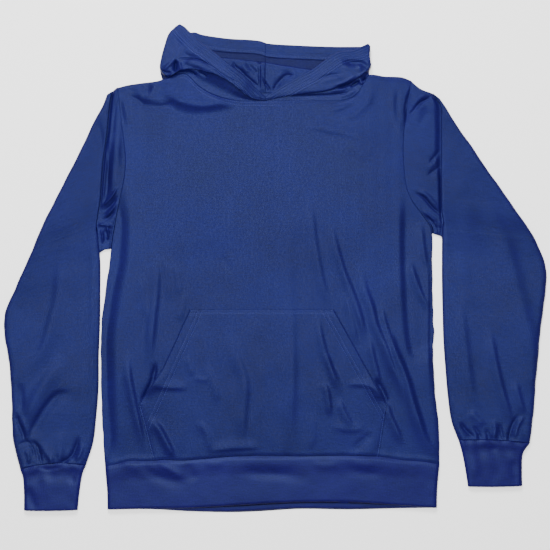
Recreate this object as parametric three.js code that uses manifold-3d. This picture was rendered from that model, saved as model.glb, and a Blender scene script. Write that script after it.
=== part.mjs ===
// Pullover hoodie in light jersey, lying flat on its back with the hood opened out.
// Millimetres. The origin is at the middle of the garment's outline, on the surface that it
// lies on: +X towards the wearer's left sleeve, +Y towards the hood, +Z up from the surface.
import * as THREE from 'three';
import { mergeVertices } from 'three/addons/utils/BufferGeometryUtils.js';
import Module from 'manifold-3d';

const wasm = await Module();
wasm.setup();

// ---------------------------------------------------------------- driving dimensions
const CLOTH = 1.5;            // jersey wall
const RIB = 2.6;              // doubled rib wall of the cuffs and waistband
const SEAM_GAP = 0.3;         // clearance between pieces that are sewn together
const BODY_LOFT = 4;          // air between front and back, away from the seams
const RIB_LOFT = 2.4;         // air inside the waistband and cuffs
const SLEEVE_TOP = 6.3;       // height of the cloth's middle line on top of a sleeve
const EDGE_ROLL = 12;         // how far in the front panel rounds down to its seams
const PLEAT = 13;             // how far the sleeve head tucks in under the sleeve
const HOOD_SEAM_X = -16;      // centre seam of the hood
const HOOD_BAG = 5;           // height of the hood's hidden layers, lying under the back
const HOOD_BAG_FLOOR = 110;   // how far down the back the hidden hood reaches
const HOOD_SIDES = { left: -192, right: 160 };   // widest reach of the hood under the body
const BACK_RAMP = { clear: 8, length: 44 };      // how the back comes down beside the hood
const NECK_RISE = 0.8;        // front panel above the back at the neckline
const LEAST_AIR = 0.6;        // front panel above the back at the bottom of a trough
const MOUTH_GAPE = 2.4;       // how far the pocket's openings stand off the front
const TURNED_HEM = 0.9;       // extra height of the pocket's turned hems

const JERSEY_BLUE = 0x303f7c;
const RIB_BLUE = 0x2a3a74;

// ---------------------------------------------------------------- outline tables
// Side seams, then armholes, from hem to shoulder.
const LEFT_EDGE = [
  { y: -330, x: -283 }, { y: -286, x: -286 }, { y: -219, x: -289 }, { y: -152, x: -290 },
  { y: -94, x: -289 }, { y: -40, x: -282.5 }, { y: 10, x: -275.5 }, { y: 48, x: -271 },
  { y: 84, x: -264.5 }, { y: 118, x: -258 }, { y: 151, x: -251 }, { y: 183, x: -249 },
  { y: 215, x: -252 }, { y: 250, x: -256.5 }, { y: 296, x: -262 },
];
const RIGHT_EDGE = [
  { y: -330, x: 272 }, { y: -286, x: 272 }, { y: -219, x: 267.5 }, { y: -144, x: 262.5 },
  { y: -60, x: 262.5 }, { y: 10, x: 261.5 }, { y: 66, x: 260 }, { y: 92, x: 243 },
  { y: 112, x: 228.5 }, { y: 135, x: 219 }, { y: 164, x: 215 }, { y: 198, x: 213.5 },
  { y: 231, x: 215 }, { y: 270, x: 219 }, { y: 309, x: 224 },
];
// Lines that run up the front through the pocket's sides to the neck points.
const POCKET_LEFT = [
  { y: -330, x: -200 }, { y: -227, x: -228 }, { y: -68, x: -144 }, { y: 322, x: -162 },
];
const POCKET_RIGHT = [
  { y: -330, x: 170 }, { y: -225, x: 186 }, { y: -68, x: 98 }, { y: 321, x: 156 },
];
const POCKET_TOP = -68;
const POCKET_CORNER = -226;
// Shoulders and neckline, from the left shoulder to the right one.
const FRONT_TOP = [
  { x: -262, y: 296 }, { x: -226, y: 306 }, { x: -196, y: 311 }, { x: -176, y: 318 },
  { x: -162, y: 323 }, { x: -146, y: 320 }, { x: -132, y: 312 }, { x: -118, y: 302 },
  { x: -92, y: 290 }, { x: -68, y: 282 }, { x: -42, y: 278 }, { x: -16, y: 278 },
  { x: 58, y: 279 }, { x: 96, y: 278 }, { x: 122, y: 282 }, { x: 138, y: 293 },
  { x: 149, y: 309 }, { x: 156, y: 321 }, { x: 182, y: 319 }, { x: 208, y: 318 },
  { x: 224, y: 309 },
];
const BACK_TOP = [
  { x: -262, y: 296 }, { x: -226, y: 306 }, { x: -196, y: 311 }, { x: -176, y: 318 },
  { x: -162, y: 323 }, { x: -146, y: 319 }, { x: -118, y: 307 }, { x: -68, y: 295 },
  { x: -16, y: 291 }, { x: 58, y: 294 }, { x: 110, y: 302 }, { x: 140, y: 312 },
  { x: 156, y: 321 }, { x: 182, y: 319 }, { x: 208, y: 318 }, { x: 224, y: 309 },
];
// Seam between body and waistband, and the waistband's lower folds.
const HEM = [
  { x: -283, y: -329 }, { x: -259, y: -324 }, { x: -239, y: -319.5 }, { x: -218, y: -320.5 },
  { x: -184, y: -318 }, { x: -151, y: -319 }, { x: -76, y: -313 }, { x: -22, y: -311 },
  { x: 41, y: -312 }, { x: 116, y: -311 }, { x: 171, y: -312.5 }, { x: 208, y: -318 },
  { x: 249, y: -321.5 }, { x: 272, y: -326 },
];
const BAND_FRONT = [
  { x: -280, y: -401 }, { x: -209, y: -399 }, { x: -142, y: -398 }, { x: -59, y: -393 },
  { x: -9, y: -390 }, { x: 41, y: -388 }, { x: 124, y: -388 }, { x: 174, y: -391 },
  { x: 268, y: -398 },
];
const BAND_BACK = [
  { x: -280, y: -402 }, { x: -209, y: -401.5 }, { x: -142, y: -405 }, { x: -76, y: -406.5 },
  { x: -26, y: -405 }, { x: 41, y: -401 }, { x: 124, y: -402 }, { x: 208, y: -400 },
  { x: 268, y: -399 },
];
const BAND_SIDES = [
  { down: 0, left: -283, right: 272 }, { down: 0.25, left: -281.5, right: 270 },
  { down: 0.6, left: -279.5, right: 268 }, { down: 1, left: -279, right: 267.5 },
];

// How the grid lines are spread over the width: evenly on the body, to the neck's curve on top.
const SIDE_COLUMNS = [0, 0.045, 0.14, 0.3, 0.48, 0.66, 0.83, 1];
const EVEN_COLUMNS = [0, 0.06, 0.14, 0.22, 0.3, 0.38, 0.45, 0.52, 0.6, 0.68, 0.76, 0.83, 0.89, 0.94, 1];
const NECK_COLUMNS = [
  0, 0.05, 0.094, 0.138, 0.22, 0.296, 0.377, 0.459, 0.572, 0.69, 0.811, 0.893, 0.943, 0.978, 1,
];
const V_COLUMN = 7;           // the neck column that ends at the hood's centre seam

// The largest folds of the front: ridges (+) and troughs (-) along a bowed line, with the
// width on each side of it.
const BODY_FOLDS = [
  { x0: -250, y0: 170, x1: -254, y1: 0, bow: 2, left: 12, right: 9, height: -2.6 },
  { x0: -255, y0: 10, x1: -270, y1: -310, bow: 6, left: 12, right: 9, height: -2.8 },
  { x0: 60, y0: 120, x1: 99, y1: -75, bow: -5, left: 12, right: 14, height: 2.4 },
  { x0: 88, y0: 95, x1: 140, y1: -75, bow: 4, left: 12, right: 12, height: 2.6 },
  { x0: 143, y0: 0, x1: 214, y1: -222, bow: -9, left: 11, right: 13, height: 3.4 },
  { x0: 190, y0: -98, x1: 268, y1: -314, bow: 8, left: 13, right: 12, height: -3.4 },
  { x0: 214, y0: -100, x1: 262, y1: -250, bow: 6, left: 11, right: 10, height: 3.6 },
  { x0: 154, y0: -115, x1: 216, y1: -300, bow: -5, left: 12, right: 11, height: 3.2 },
  { x0: 219, y0: 115, x1: 229, y1: -150, bow: 3, left: 12, right: 10, height: 2.6 },
  { x0: 222, y0: 15, x1: 255, y1: -70, bow: 2, left: 10, right: 10, height: -2.4 },
  { x0: 20, y0: 125, x1: 27, y1: -315, bow: 5, left: 12, right: 12, height: 2.2 },
  { x0: -182, y0: 10, x1: -205, y1: -150, bow: -4, left: 13, right: 13, height: 2 },
  { x0: -88, y0: 25, x1: -58, y1: -260, bow: 8, left: 14, right: 12, height: 2 },
  { x0: -176, y0: 288, x1: -50, y1: 266, bow: 12, left: 14, right: 16, height: -2.6 },
  { x0: -150, y0: 262, x1: -20, y1: 238, bow: 12, left: 16, right: 18, height: 1.8 },
  { x0: 40, y0: 236, x1: 160, y1: 214, bow: -6, left: 14, right: 14, height: 2.2 },
  { x0: 92, y0: 254, x1: 154, y1: 300, bow: 10, left: 12, right: 12, height: 2 },
];

const SLEEVE_RIGHT_FOLDS = [
  { x0: -300, y0: 250, x1: -286, y1: 195, bow: 0, left: 11, right: 11, height: -2 },
  { x0: -356, y0: 22, x1: -411, y1: -215, bow: -10, left: 14, right: 14, height: 3 },
  { x0: -350, y0: -120, x1: -416, y1: -285, bow: 8, left: 12, right: 12, height: 2.4 },
  { x0: -345, y0: -205, x1: -405, y1: -285, bow: -10, left: 12, right: 12, height: -2.6 },
  { x0: -328, y0: -282, x1: -356, y1: -316, bow: -4, left: 9, right: 9, height: -1.8 },
];
const SLEEVE_LEFT_FOLDS = [
  { x0: 354, y0: 116, x1: 430, y1: -190, bow: -22, left: 15, right: 17, height: 3.2 },
  { x0: 357, y0: -98, x1: 391, y1: -256, bow: 0, left: 11, right: 11, height: 2.8 },
  { x0: 307, y0: -52, x1: 340, y1: -224, bow: 3, left: 14, right: 14, height: 2.4 },
  { x0: 324, y0: -236, x1: 349, y1: -262, bow: 0, left: 10, right: 10, height: 1.8 },
  { x0: 402, y0: -244, x1: 388, y1: -284, bow: -3, left: 10, right: 10, height: -1.8 },
];

// Sleeve sections from shoulder to cuff. `at` is the height where the section meets the
// armhole, or its inner fold below the armhole. The fold is the sleeve's inner edge, and
// `pleat` fades out the tuck of the sleeve head beneath it.
const SLEEVE_RIGHT = [
  { at: 296, foldX: -271, foldY: 287, outerX: -284, outerY: 279, pleat: 1 },
  { at: 262, foldX: -276, foldY: 259, outerX: -298, outerY: 250, pleat: 1 },
  { at: 229, foldX: -279, foldY: 227, outerX: -318, outerY: 209, pleat: 1 },
  { at: 189, foldX: -285, foldY: 187, outerX: -342, outerY: 160, pleat: 1 },
  { at: 151, foldX: -288, foldY: 150, outerX: -364, outerY: 118, pleat: 1 },
  { at: 118, foldX: -290, foldY: 117, outerX: -381, outerY: 84, pleat: 1 },
  { at: 84, foldX: -294, foldY: 86, outerX: -398, outerY: 46, pleat: 0.7 },
  { at: 46, foldX: -294, foldY: 50, outerX: -413, outerY: 10, pleat: 0 },
  { at: 10, foldX: -291, foldY: 10, outerX: -431, outerY: -30, pleat: 0 },
  { at: -40, foldX: -291, foldY: -40, outerX: -447.5, outerY: -68, pleat: 0 },
  { at: -90, foldX: -291.5, foldY: -90, outerX: -451.5, outerY: -100, pleat: 0 },
  { at: -145, foldX: -293.5, foldY: -145, outerX: -444.5, outerY: -146, pleat: 0 },
  { at: -200, foldX: -296, foldY: -200, outerX: -439, outerY: -202, pleat: 0 },
  { at: -250, foldX: -301, foldY: -250, outerX: -438, outerY: -252, pleat: 0 },
  { at: -290, foldX: -306, foldY: -290, outerX: -434.5, outerY: -294, pleat: 0 },
  { at: -328, foldX: -318, foldY: -328, outerX: -424.5, outerY: -334, pleat: 0 },
];
const SLEEVE_LEFT = [
  { at: 309, foldX: 262, foldY: 290, outerX: 275, outerY: 281, pleat: 1 },
  { at: 285, foldX: 275, foldY: 270, outerX: 288, outerY: 262, pleat: 1 },
  { at: 255, foldX: 276, foldY: 244, outerX: 308, outerY: 230, pleat: 1 },
  { at: 225, foldX: 276, foldY: 215, outerX: 330, outerY: 199, pleat: 1 },
  { at: 190, foldX: 276, foldY: 180, outerX: 353, outerY: 165, pleat: 1 },
  { at: 158, foldX: 276, foldY: 148, outerX: 374, outerY: 135, pleat: 1 },
  { at: 128, foldX: 276.5, foldY: 118, outerX: 394, outerY: 107, pleat: 1 },
  { at: 98, foldX: 277, foldY: 88, outerX: 414, outerY: 78, pleat: 0.8 },
  { at: 66, foldX: 278, foldY: 58, outerX: 432, outerY: 50, pleat: 0 },
  { at: 25, foldX: 278, foldY: 25, outerX: 449, outerY: 10, pleat: 0 },
  { at: -20, foldX: 278, foldY: -20, outerX: 451.5, outerY: -30, pleat: 0 },
  { at: -70, foldX: 279, foldY: -70, outerX: 445, outerY: -78, pleat: 0 },
  { at: -120, foldX: 280.5, foldY: -120, outerX: 438, outerY: -126, pleat: 0 },
  { at: -170, foldX: 284, foldY: -170, outerX: 433.5, outerY: -176, pleat: 0 },
  { at: -215, foldX: 288.5, foldY: -215, outerX: 430.5, outerY: -220, pleat: 0 },
  { at: -255, foldX: 295, foldY: -255, outerX: 427, outerY: -260, pleat: 0 },
  { at: -286, foldX: 305.5, foldY: -286, outerX: 424, outerY: -291, pleat: 0 },
];
const CUFF_RIGHT = [
  { innerX: -318, innerY: -328, outerX: -424.5, outerY: -334, bow: 7 },
  { innerX: -323.5, innerY: -342, outerX: -420, outerY: -347, bow: 6 },
  { innerX: -328.5, innerY: -372, outerX: -417.5, outerY: -375, bow: 2 },
  { innerX: -332, innerY: -402, outerX: -418, outerY: -404, bow: -1 },
];
const CUFF_LEFT = [
  { innerX: 305.5, innerY: -286, outerX: 424, outerY: -291, bow: 3 },
  { innerX: 311, innerY: -306, outerX: 413, outerY: -308, bow: 3 },
  { innerX: 316.5, innerY: -334, outerX: 411, outerY: -334, bow: 2 },
  { innerX: 321, innerY: -363, outerX: 411.5, outerY: -362, bow: -1 },
];

// Hood wings, a row for each section from the neck's centre out to the peak. Sections that
// start on the neck seam leave `edge` out. `seat`, `crown` and `rest` are the cloth's heights
// at its lower edge, over its roll and at the rim.
const WING_RIGHT = [
  { rimX: -16.3, rimY: 285, seat: 8.6, crown: 12, rest: 11.5 },
  { rimX: -31, rimY: 298, seat: 8.6, crown: 16, rest: 12.5 },
  { rimX: -47, rimY: 314, seat: 8.6, crown: 19, rest: 13 },
  { rimX: -62, rimY: 327, seat: 8.6, crown: 22, rest: 13.5 },
  { rimX: -78, rimY: 339, seat: 8.6, crown: 23, rest: 13.5 },
  { rimX: -90, rimY: 349, seat: 8.8, crown: 23, rest: 13.5 },
  { rimX: -101, rimY: 358, seat: 9.4, crown: 23, rest: 13 },
  { rimX: -111, rimY: 366, seat: 11, crown: 23, rest: 12.5 },
  { edgeX: -178, edgeY: 316, rimX: -121, rimY: 373, seat: 14, crown: 22, rest: 12 },
  { edgeX: -192, edgeY: 331, rimX: -130, rimY: 381, seat: 6, crown: 20, rest: 11 },
  { edgeX: -189, edgeY: 350, rimX: -138, rimY: 389, seat: 0.2, crown: 16, rest: 9 },
  { edgeX: -183.5, edgeY: 371, rimX: -145, rimY: 396, seat: 0.2, crown: 12, rest: 7 },
  { edgeX: -177, edgeY: 390, rimX: -151, rimY: 402, seat: 0.2, crown: 8, rest: 5 },
  { edgeX: -165.5, edgeY: 402.5, rimX: -158.5, rimY: 406.5, seat: 0.2, crown: 4.5, rest: 3 },
];
const WING_LEFT = [
  { rimX: -15.7, rimY: 285, seat: 8.6, crown: 12, rest: 11.5 },
  { rimX: 8, rimY: 302, seat: 8.6, crown: 17, rest: 12.5 },
  { rimX: 36, rimY: 316, seat: 8.6, crown: 20, rest: 13 },
  { rimX: 62, rimY: 329, seat: 8.6, crown: 22, rest: 13.5 },
  { rimX: 84, rimY: 343, seat: 8.8, crown: 23, rest: 13.5 },
  { rimX: 99, rimY: 351, seat: 9.2, crown: 23, rest: 13 },
  { rimX: 112, rimY: 357, seat: 10, crown: 22, rest: 12.5 },
  { rimX: 122, rimY: 361, seat: 11, crown: 21, rest: 12 },
  { edgeX: 157, edgeY: 330, rimX: 131, rimY: 364, seat: 7, crown: 18, rest: 11 },
  { edgeX: 159, edgeY: 338, rimX: 139, rimY: 367, seat: 3, crown: 15, rest: 9 },
  { edgeX: 157.5, edgeY: 350, rimX: 146, rimY: 369.5, seat: 0.2, crown: 11, rest: 7 },
  { edgeX: 157, edgeY: 364, rimX: 152, rimY: 371.5, seat: 0.2, crown: 6, rest: 4 },
];
// Outer edge of the hood's part that lies on the surface, and its top rim.
const HOOD_EDGE_RIGHT = [
  { y: 110, x: -118 }, { y: 125, x: -142 }, { y: 160, x: -163 }, { y: 220, x: -177 },
  { y: 300, x: -184 }, { y: 330, x: -191.5 }, { y: 350, x: -189 }, { y: 371, x: -183.5 },
  { y: 390, x: -177 }, { y: 402, x: -166 },
];
const HOOD_EDGE_LEFT = [
  { y: 110, x: 86 }, { y: 125, x: 110 }, { y: 160, x: 131 }, { y: 220, x: 145 },
  { y: 300, x: 152 }, { y: 330, x: 157 }, { y: 350, x: 157.5 }, { y: 372, x: 157 },
];
const HOOD_RIM_TOP = [
  { x: -166, y: 402 }, { x: -158, y: 399 }, { x: -138, y: 389 }, { x: -109, y: 386 },
  { x: -84, y: 383 }, { x: -42, y: 378 }, { x: -16, y: 372 }, { x: 41, y: 371 },
  { x: 91, y: 369 }, { x: 157, y: 370 },
];
// Upper fold of the nape, where the hood turns down behind.
const NAPE_FOLD = [
  { x: -130, y: 353 }, { x: -89, y: 351 }, { x: -59, y: 348 }, { x: -16, y: 343 },
  { x: 16, y: 338 }, { x: 64, y: 331 }, { x: 108, y: 326 }, { x: 140, y: 326 },
];
const NAPE_ENDS = { left: -128, right: 124 };

// ---------------------------------------------------------------- helpers
const lerp = (a, b, t) => a + (b - a) * t;
const clamp01 = (t) => Math.min(1, Math.max(0, t));
const smooth = (t) => clamp01(t) ** 2 * (3 - 2 * clamp01(t));

/** Smooth curve through a table's rows: gives column `value` at any `key`. */
function spline(table, key, value) {
  const rows = [...table].sort((a, b) => a[key] - b[key]);
  const slope = rows.map((row, i) => {
    const before = rows[Math.max(0, i - 1)];
    const after = rows[Math.min(rows.length - 1, i + 1)];
    return (after[value] - before[value]) / (after[key] - before[key]);
  });
  return (at) => {
    const k = Math.min(rows[rows.length - 1][key], Math.max(rows[0][key], at));
    let i = 0;
    while (i < rows.length - 2 && k > rows[i + 1][key]) i += 1;
    const span = rows[i + 1][key] - rows[i][key];
    const t = (k - rows[i][key]) / span;
    const h1 = t * t * (3 - 2 * t);
    const m0 = t * (1 - t) ** 2 * span * slope[i];
    const m1 = t * t * (t - 1) * span * slope[i + 1];
    return lerp(rows[i][value], rows[i + 1][value], h1) + m0 + m1;
  };
}

/** Straight lines through a table's rows, for outlines with corners. */
function polyline(table, key, value) {
  const rows = [...table].sort((a, b) => a[key] - b[key]);
  return (at) => {
    const k = Math.min(rows[rows.length - 1][key], Math.max(rows[0][key], at));
    let i = 0;
    while (i < rows.length - 2 && k > rows[i + 1][key]) i += 1;
    return lerp(rows[i][value], rows[i + 1][value],
      (k - rows[i][key]) / (rows[i + 1][key] - rows[i][key]));
  };
}

/** Height that a table of folds adds at (x, y). */
function foldHeight(folds, x, y) {
  let sum = 0;
  for (const fold of folds) {
    const dx = fold.x1 - fold.x0;
    const dy = fold.y1 - fold.y0;
    const length = Math.hypot(dx, dy);
    const t = ((x - fold.x0) * dx + (y - fold.y0) * dy) / length ** 2;
    const bow = fold.bow * 4 * clamp01(t) * (1 - clamp01(t));
    const across = ((x - fold.x0) * dy - (y - fold.y0) * dx) / length - bow;
    const fade = smooth((t + 0.12) / 0.34) * smooth((1.12 - t) / 0.34);
    const width = across < 0 ? fold.left : fold.right;
    sum += fold.height * fade * Math.exp(-((across / width) ** 2));
  }
  return sum;
}

/** Rounding from 0 at a seam to 1 at `EDGE_ROLL` inside it, like a rolled edge of cloth. */
function roll(distance) {
  return Math.sqrt(1 - (1 - clamp01(distance / EDGE_ROLL)) ** 2);
}

/**
 * Closed wall between an outer and an inner grid of points with the same rows and columns.
 * Rows from `closedFrom` on are rings, whose last point is their first one again.
 */
function wall(outer, inner, closedFrom = Infinity) {
  const rows = outer.length;
  const columns = outer[0].length;
  const position = [];
  const triangles = [];
  const grids = [outer, inner];
  for (const grid of grids) {
    for (const row of grid) {
      for (const p of row) position.push(p.x, p.y, p.z);
    }
  }
  const id = (layer, r, c) => (layer * rows + r) * columns + c;
  const quad = (a, b, c, d) => triangles.push(a, b, c, a, c, d);
  for (let r = 0; r < rows - 1; r += 1) {
    for (let c = 0; c < columns - 1; c += 1) {
      quad(id(0, r, c), id(0, r, c + 1), id(0, r + 1, c + 1), id(0, r + 1, c));
      quad(id(1, r, c), id(1, r + 1, c), id(1, r + 1, c + 1), id(1, r, c + 1));
    }
    if (r < closedFrom) {
      const last = columns - 1;
      quad(id(0, r, 0), id(0, r + 1, 0), id(1, r + 1, 0), id(1, r, 0));
      quad(id(0, r, last), id(1, r, last), id(1, r + 1, last), id(0, r + 1, last));
    }
  }
  for (let c = 0; c < columns - 1; c += 1) {
    const end = rows - 1;
    quad(id(0, 0, c), id(1, 0, c), id(1, 0, c + 1), id(0, 0, c + 1));
    quad(id(0, end, c), id(0, end, c + 1), id(1, end, c + 1), id(1, end, c));
  }
  const geometry = new THREE.BufferGeometry();
  geometry.setAttribute('position', new THREE.Float32BufferAttribute(position, 3));
  geometry.setIndex(triangles);
  return outward(mergeVertices(geometry, 1e-4));
}

/** Turns a closed geometry's faces outward. */
function outward(geometry) {
  const p = geometry.attributes.position;
  const index = geometry.index;
  const [a, b, c] = [new THREE.Vector3(), new THREE.Vector3(), new THREE.Vector3()];
  let volume = 0;
  for (let i = 0; i < index.count; i += 3) {
    a.fromBufferAttribute(p, index.getX(i));
    b.fromBufferAttribute(p, index.getX(i + 1));
    c.fromBufferAttribute(p, index.getX(i + 2));
    volume += a.dot(b.cross(c));
  }
  if (volume < 0) {
    for (let i = 0; i < index.count; i += 3) {
      const first = index.getX(i);
      index.setX(i, index.getX(i + 2));
      index.setX(i + 2, first);
    }
  }
  return geometry;
}

/** Wall over a grid of underside points, `thickness` high (a number, or a function of r, c). */
function sheet(under, thickness) {
  const top = under.map((row, r) => row.map((p, c) => {
    const t = typeof thickness === 'function' ? thickness(r, c) : thickness;
    return new THREE.Vector3(p.x, p.y, p.z + t);
  }));
  return wall(top, under);
}

function toManifold(geometry) {
  return new wasm.Manifold(new wasm.Mesh({
    numProp: 3,
    vertProperties: new Float32Array(geometry.attributes.position.array),
    triVerts: new Uint32Array(geometry.index.array),
  }));
}

function fromManifold(solid) {
  const result = solid.getMesh();
  const geometry = new THREE.BufferGeometry();
  geometry.setAttribute('position', new THREE.BufferAttribute(result.vertProperties, 3));
  geometry.setIndex(new THREE.BufferAttribute(result.triVerts, 1));
  return geometry;
}

const group = new THREE.Group();
function add(name, geometry, colour, roughness = 0.85) {
  geometry.computeVertexNormals();
  const material = new THREE.MeshStandardMaterial({ color: colour, roughness, metalness: 0 });
  const mesh = new THREE.Mesh(geometry, material);
  mesh.name = name;
  group.add(mesh);
}

// ---------------------------------------------------------------- body panels
const leftEdge = spline(LEFT_EDGE, 'y', 'x');
const rightEdge = spline(RIGHT_EDGE, 'y', 'x');
const pocketLeft = polyline(POCKET_LEFT, 'y', 'x');
const pocketRight = polyline(POCKET_RIGHT, 'y', 'x');
const hem = spline(HEM, 'x', 'y');
const UNDERARM = { left: 46, right: 66 };
const ROWS = { skirt: 3, pocket: 6, waist: 3, chest: 9 };
const LEFT_END = SIDE_COLUMNS.length - 1;
const RIGHT_START = LEFT_END + EVEN_COLUMNS.length - 1;
const LAST_COLUMN = RIGHT_START + SIDE_COLUMNS.length - 1;
const FIRST_CHEST_ROW = ROWS.skirt + ROWS.pocket + ROWS.waist;

/** x of a grid column at height y. */
function columnX(column, y) {
  if (column <= LEFT_END) {
    return lerp(leftEdge(y), pocketLeft(y), SIDE_COLUMNS[column]);
  }
  if (column >= RIGHT_START) {
    return lerp(rightEdge(y), pocketRight(y), SIDE_COLUMNS[LAST_COLUMN - column]);
  }
  const k = column - LEFT_END;
  const share = lerp(EVEN_COLUMNS[k], NECK_COLUMNS[k], smooth((y - POCKET_TOP) / 330));
  return lerp(pocketLeft(y), pocketRight(y), share);
}

/** Grid of plan points of a body panel, from hem to shoulders and neckline. */
function panelPlan(topLine) {
  const plan = [];
  const topOf = (column) => {
    let y = 300;
    for (let pass = 0; pass < 12; pass += 1) y = topLine(columnX(column, y));
    return y;
  };
  const point = (column, y) => new THREE.Vector2(columnX(column, y), y);
  const across = (column) => column / LAST_COLUMN;
  const levels = [
    { count: ROWS.skirt, from: (c) => hem(columnX(c, -318)), to: () => POCKET_CORNER },
    { count: ROWS.pocket, from: () => POCKET_CORNER, to: () => POCKET_TOP },
    { count: ROWS.waist, from: () => POCKET_TOP, to: (c) => lerp(UNDERARM.left, UNDERARM.right, across(c)) },
    { count: ROWS.chest, from: (c) => lerp(UNDERARM.left, UNDERARM.right, across(c)), to: topOf },
  ];
  levels.forEach((level, index) => {
    const first = index === 0 ? 0 : 1;
    for (let r = first; r <= level.count; r += 1) {
      const row = [];
      for (let c = 0; c <= LAST_COLUMN; c += 1) {
        row.push(point(c, lerp(level.from(c), level.to(c), r / level.count)));
      }
      plan.push(row);
    }
  });
  return plan;
}

/** Height of the back panel's underside: flat, but carried up over the hidden hood. */
function backUnderside(x, y) {
  const outsideX = Math.max(HOOD_SIDES.left - x, x - HOOD_SIDES.right, 0);
  const outsideY = Math.max(HOOD_BAG_FLOOR - y, 0);
  const distance = Math.hypot(outsideX, outsideY);
  const down = smooth((distance - BACK_RAMP.clear) / BACK_RAMP.length);
  return (HOOD_BAG + SEAM_GAP + 0.2) * (1 - down);
}

const frontPlan = panelPlan(spline(FRONT_TOP, 'x', 'y'));
const backPlan = panelPlan(spline(BACK_TOP, 'x', 'y'));

/** Underside of the front panel at a grid point. */
function frontUnderside(r, c) {
  const p = frontPlan[r][c];
  const row = frontPlan[r];
  const topRow = frontPlan[frontPlan.length - 1];
  const sideways = roll(Math.min(p.x - row[0].x, row[LAST_COLUMN].x - p.x));
  const upward = roll(topRow[c].y - p.y);
  const atNeck = c > LEFT_END && c < RIGHT_START ? NECK_RISE : 0;
  const relief = Math.max(BODY_LOFT + foldHeight(BODY_FOLDS, p.x, p.y), LEAST_AIR);
  const floor = backUnderside(p.x, p.y) + CLOTH + SEAM_GAP;
  return floor + sideways * (upward * relief + (1 - upward) * atNeck);
}

const frontUnder = frontPlan.map((row, r) => row.map((p, c) =>
  new THREE.Vector3(p.x, p.y, frontUnderside(r, c))));
const backUnder = backPlan.map((row, r) => row.map((p, c) => {
  const atEdge = c === 0 || c === LAST_COLUMN;
  return new THREE.Vector3(p.x, p.y, atEdge ? 0 : backUnderside(p.x, p.y));
}));
add('front_panel', sheet(frontUnder, CLOTH), JERSEY_BLUE);

// Below the armholes the back is flat, so it keeps only every third row there.
const backRows = backUnder.filter((row, r) => r >= FIRST_CHEST_ROW || r % 3 === 0);
add('back_panel', sheet(backRows, CLOTH), JERSEY_BLUE);

// ---------------------------------------------------------------- pocket
const pocketRows = frontUnder.slice(0, ROWS.skirt + ROWS.pocket + 1);
const pocketSpan = RIGHT_START - LEFT_END;
const pocketUnder = pocketRows.map((row, r) => row.slice(LEFT_END, RIGHT_START + 1).map((p, k) => {
  const slant = clamp01((r - ROWS.skirt) / ROWS.pocket);
  const nearMouth = Math.exp(-((Math.min(k, pocketSpan - k) / 1.6) ** 2));
  const gape = MOUTH_GAPE * Math.sin(Math.PI * slant) * nearMouth;
  return new THREE.Vector3(p.x, p.y, p.z + CLOTH + SEAM_GAP + gape);
}));
const pocketWall = (r, k) => {
  const onMouth = r > ROWS.skirt && Math.min(k, pocketSpan - k) <= 1;
  const onTop = r === ROWS.skirt + ROWS.pocket;
  return CLOTH + (onMouth || onTop ? TURNED_HEM : 0);
};
add('pocket', sheet(pocketUnder, pocketWall), JERSEY_BLUE);

// ---------------------------------------------------------------- waistband
const bandFront = spline(BAND_FRONT, 'x', 'y');
const bandBack = spline(BAND_BACK, 'x', 'y');
const bandLeft = spline(BAND_SIDES, 'down', 'left');
const bandRight = spline(BAND_SIDES, 'down', 'right');
const BAND_TOP_Z = 2 * RIB + RIB_LOFT;
const BAND_LEVELS = [0, 0.25, 0.6, 1];
const FOLD_STEPS = 4;

/** Loop of a waistband section: front from left to right, round the fold, back to the left. */
function bandLoop(down, inset) {
  const points = [];
  const halfHeight = BAND_TOP_Z / 2 - inset;
  const foldWidth = 6 - inset * 0.6;
  const left = bandLeft(down) + inset * 0.4 + foldWidth;
  const right = bandRight(down) - inset * 0.4 - foldWidth;
  const frontY = (x) => lerp(hem(x) - SEAM_GAP, bandFront(x), down);
  const backY = (x) => lerp(hem(x) - SEAM_GAP, bandBack(x), down);
  const place = (x, z) => {
    const share = clamp01((z / BAND_TOP_Z - 0.2) / 0.6);
    return new THREE.Vector3(x, lerp(backY(x), frontY(x), share), z);
  };
  const seamX = frontPlan[0].slice(1, -1).map((p) => p.x);
  const run = seamX.map((x) => {
    const share = (x - seamX[0]) / (seamX[seamX.length - 1] - seamX[0]);
    return lerp(x, lerp(left, right, share), down);
  });
  const middle = BAND_TOP_Z / 2;
  for (const x of run) points.push(place(x, middle + halfHeight));
  for (let i = 1; i < FOLD_STEPS; i += 1) {
    const angle = Math.PI / 2 - Math.PI * i / FOLD_STEPS;
    points.push(place(right + foldWidth * Math.cos(angle), middle + halfHeight * Math.sin(angle)));
  }
  for (const x of [...run].reverse()) points.push(place(x, middle - halfHeight));
  for (let i = 1; i < FOLD_STEPS; i += 1) {
    const angle = -Math.PI / 2 - Math.PI * i / FOLD_STEPS;
    points.push(place(left + foldWidth * Math.cos(angle), middle + halfHeight * Math.sin(angle)));
  }
  points.push(points[0].clone());
  return points;
}
add('waistband', wall(
  BAND_LEVELS.map((down) => bandLoop(down, 0)),
  BAND_LEVELS.map((down) => bandLoop(down, RIB)),
  0,
), RIB_BLUE);

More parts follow.
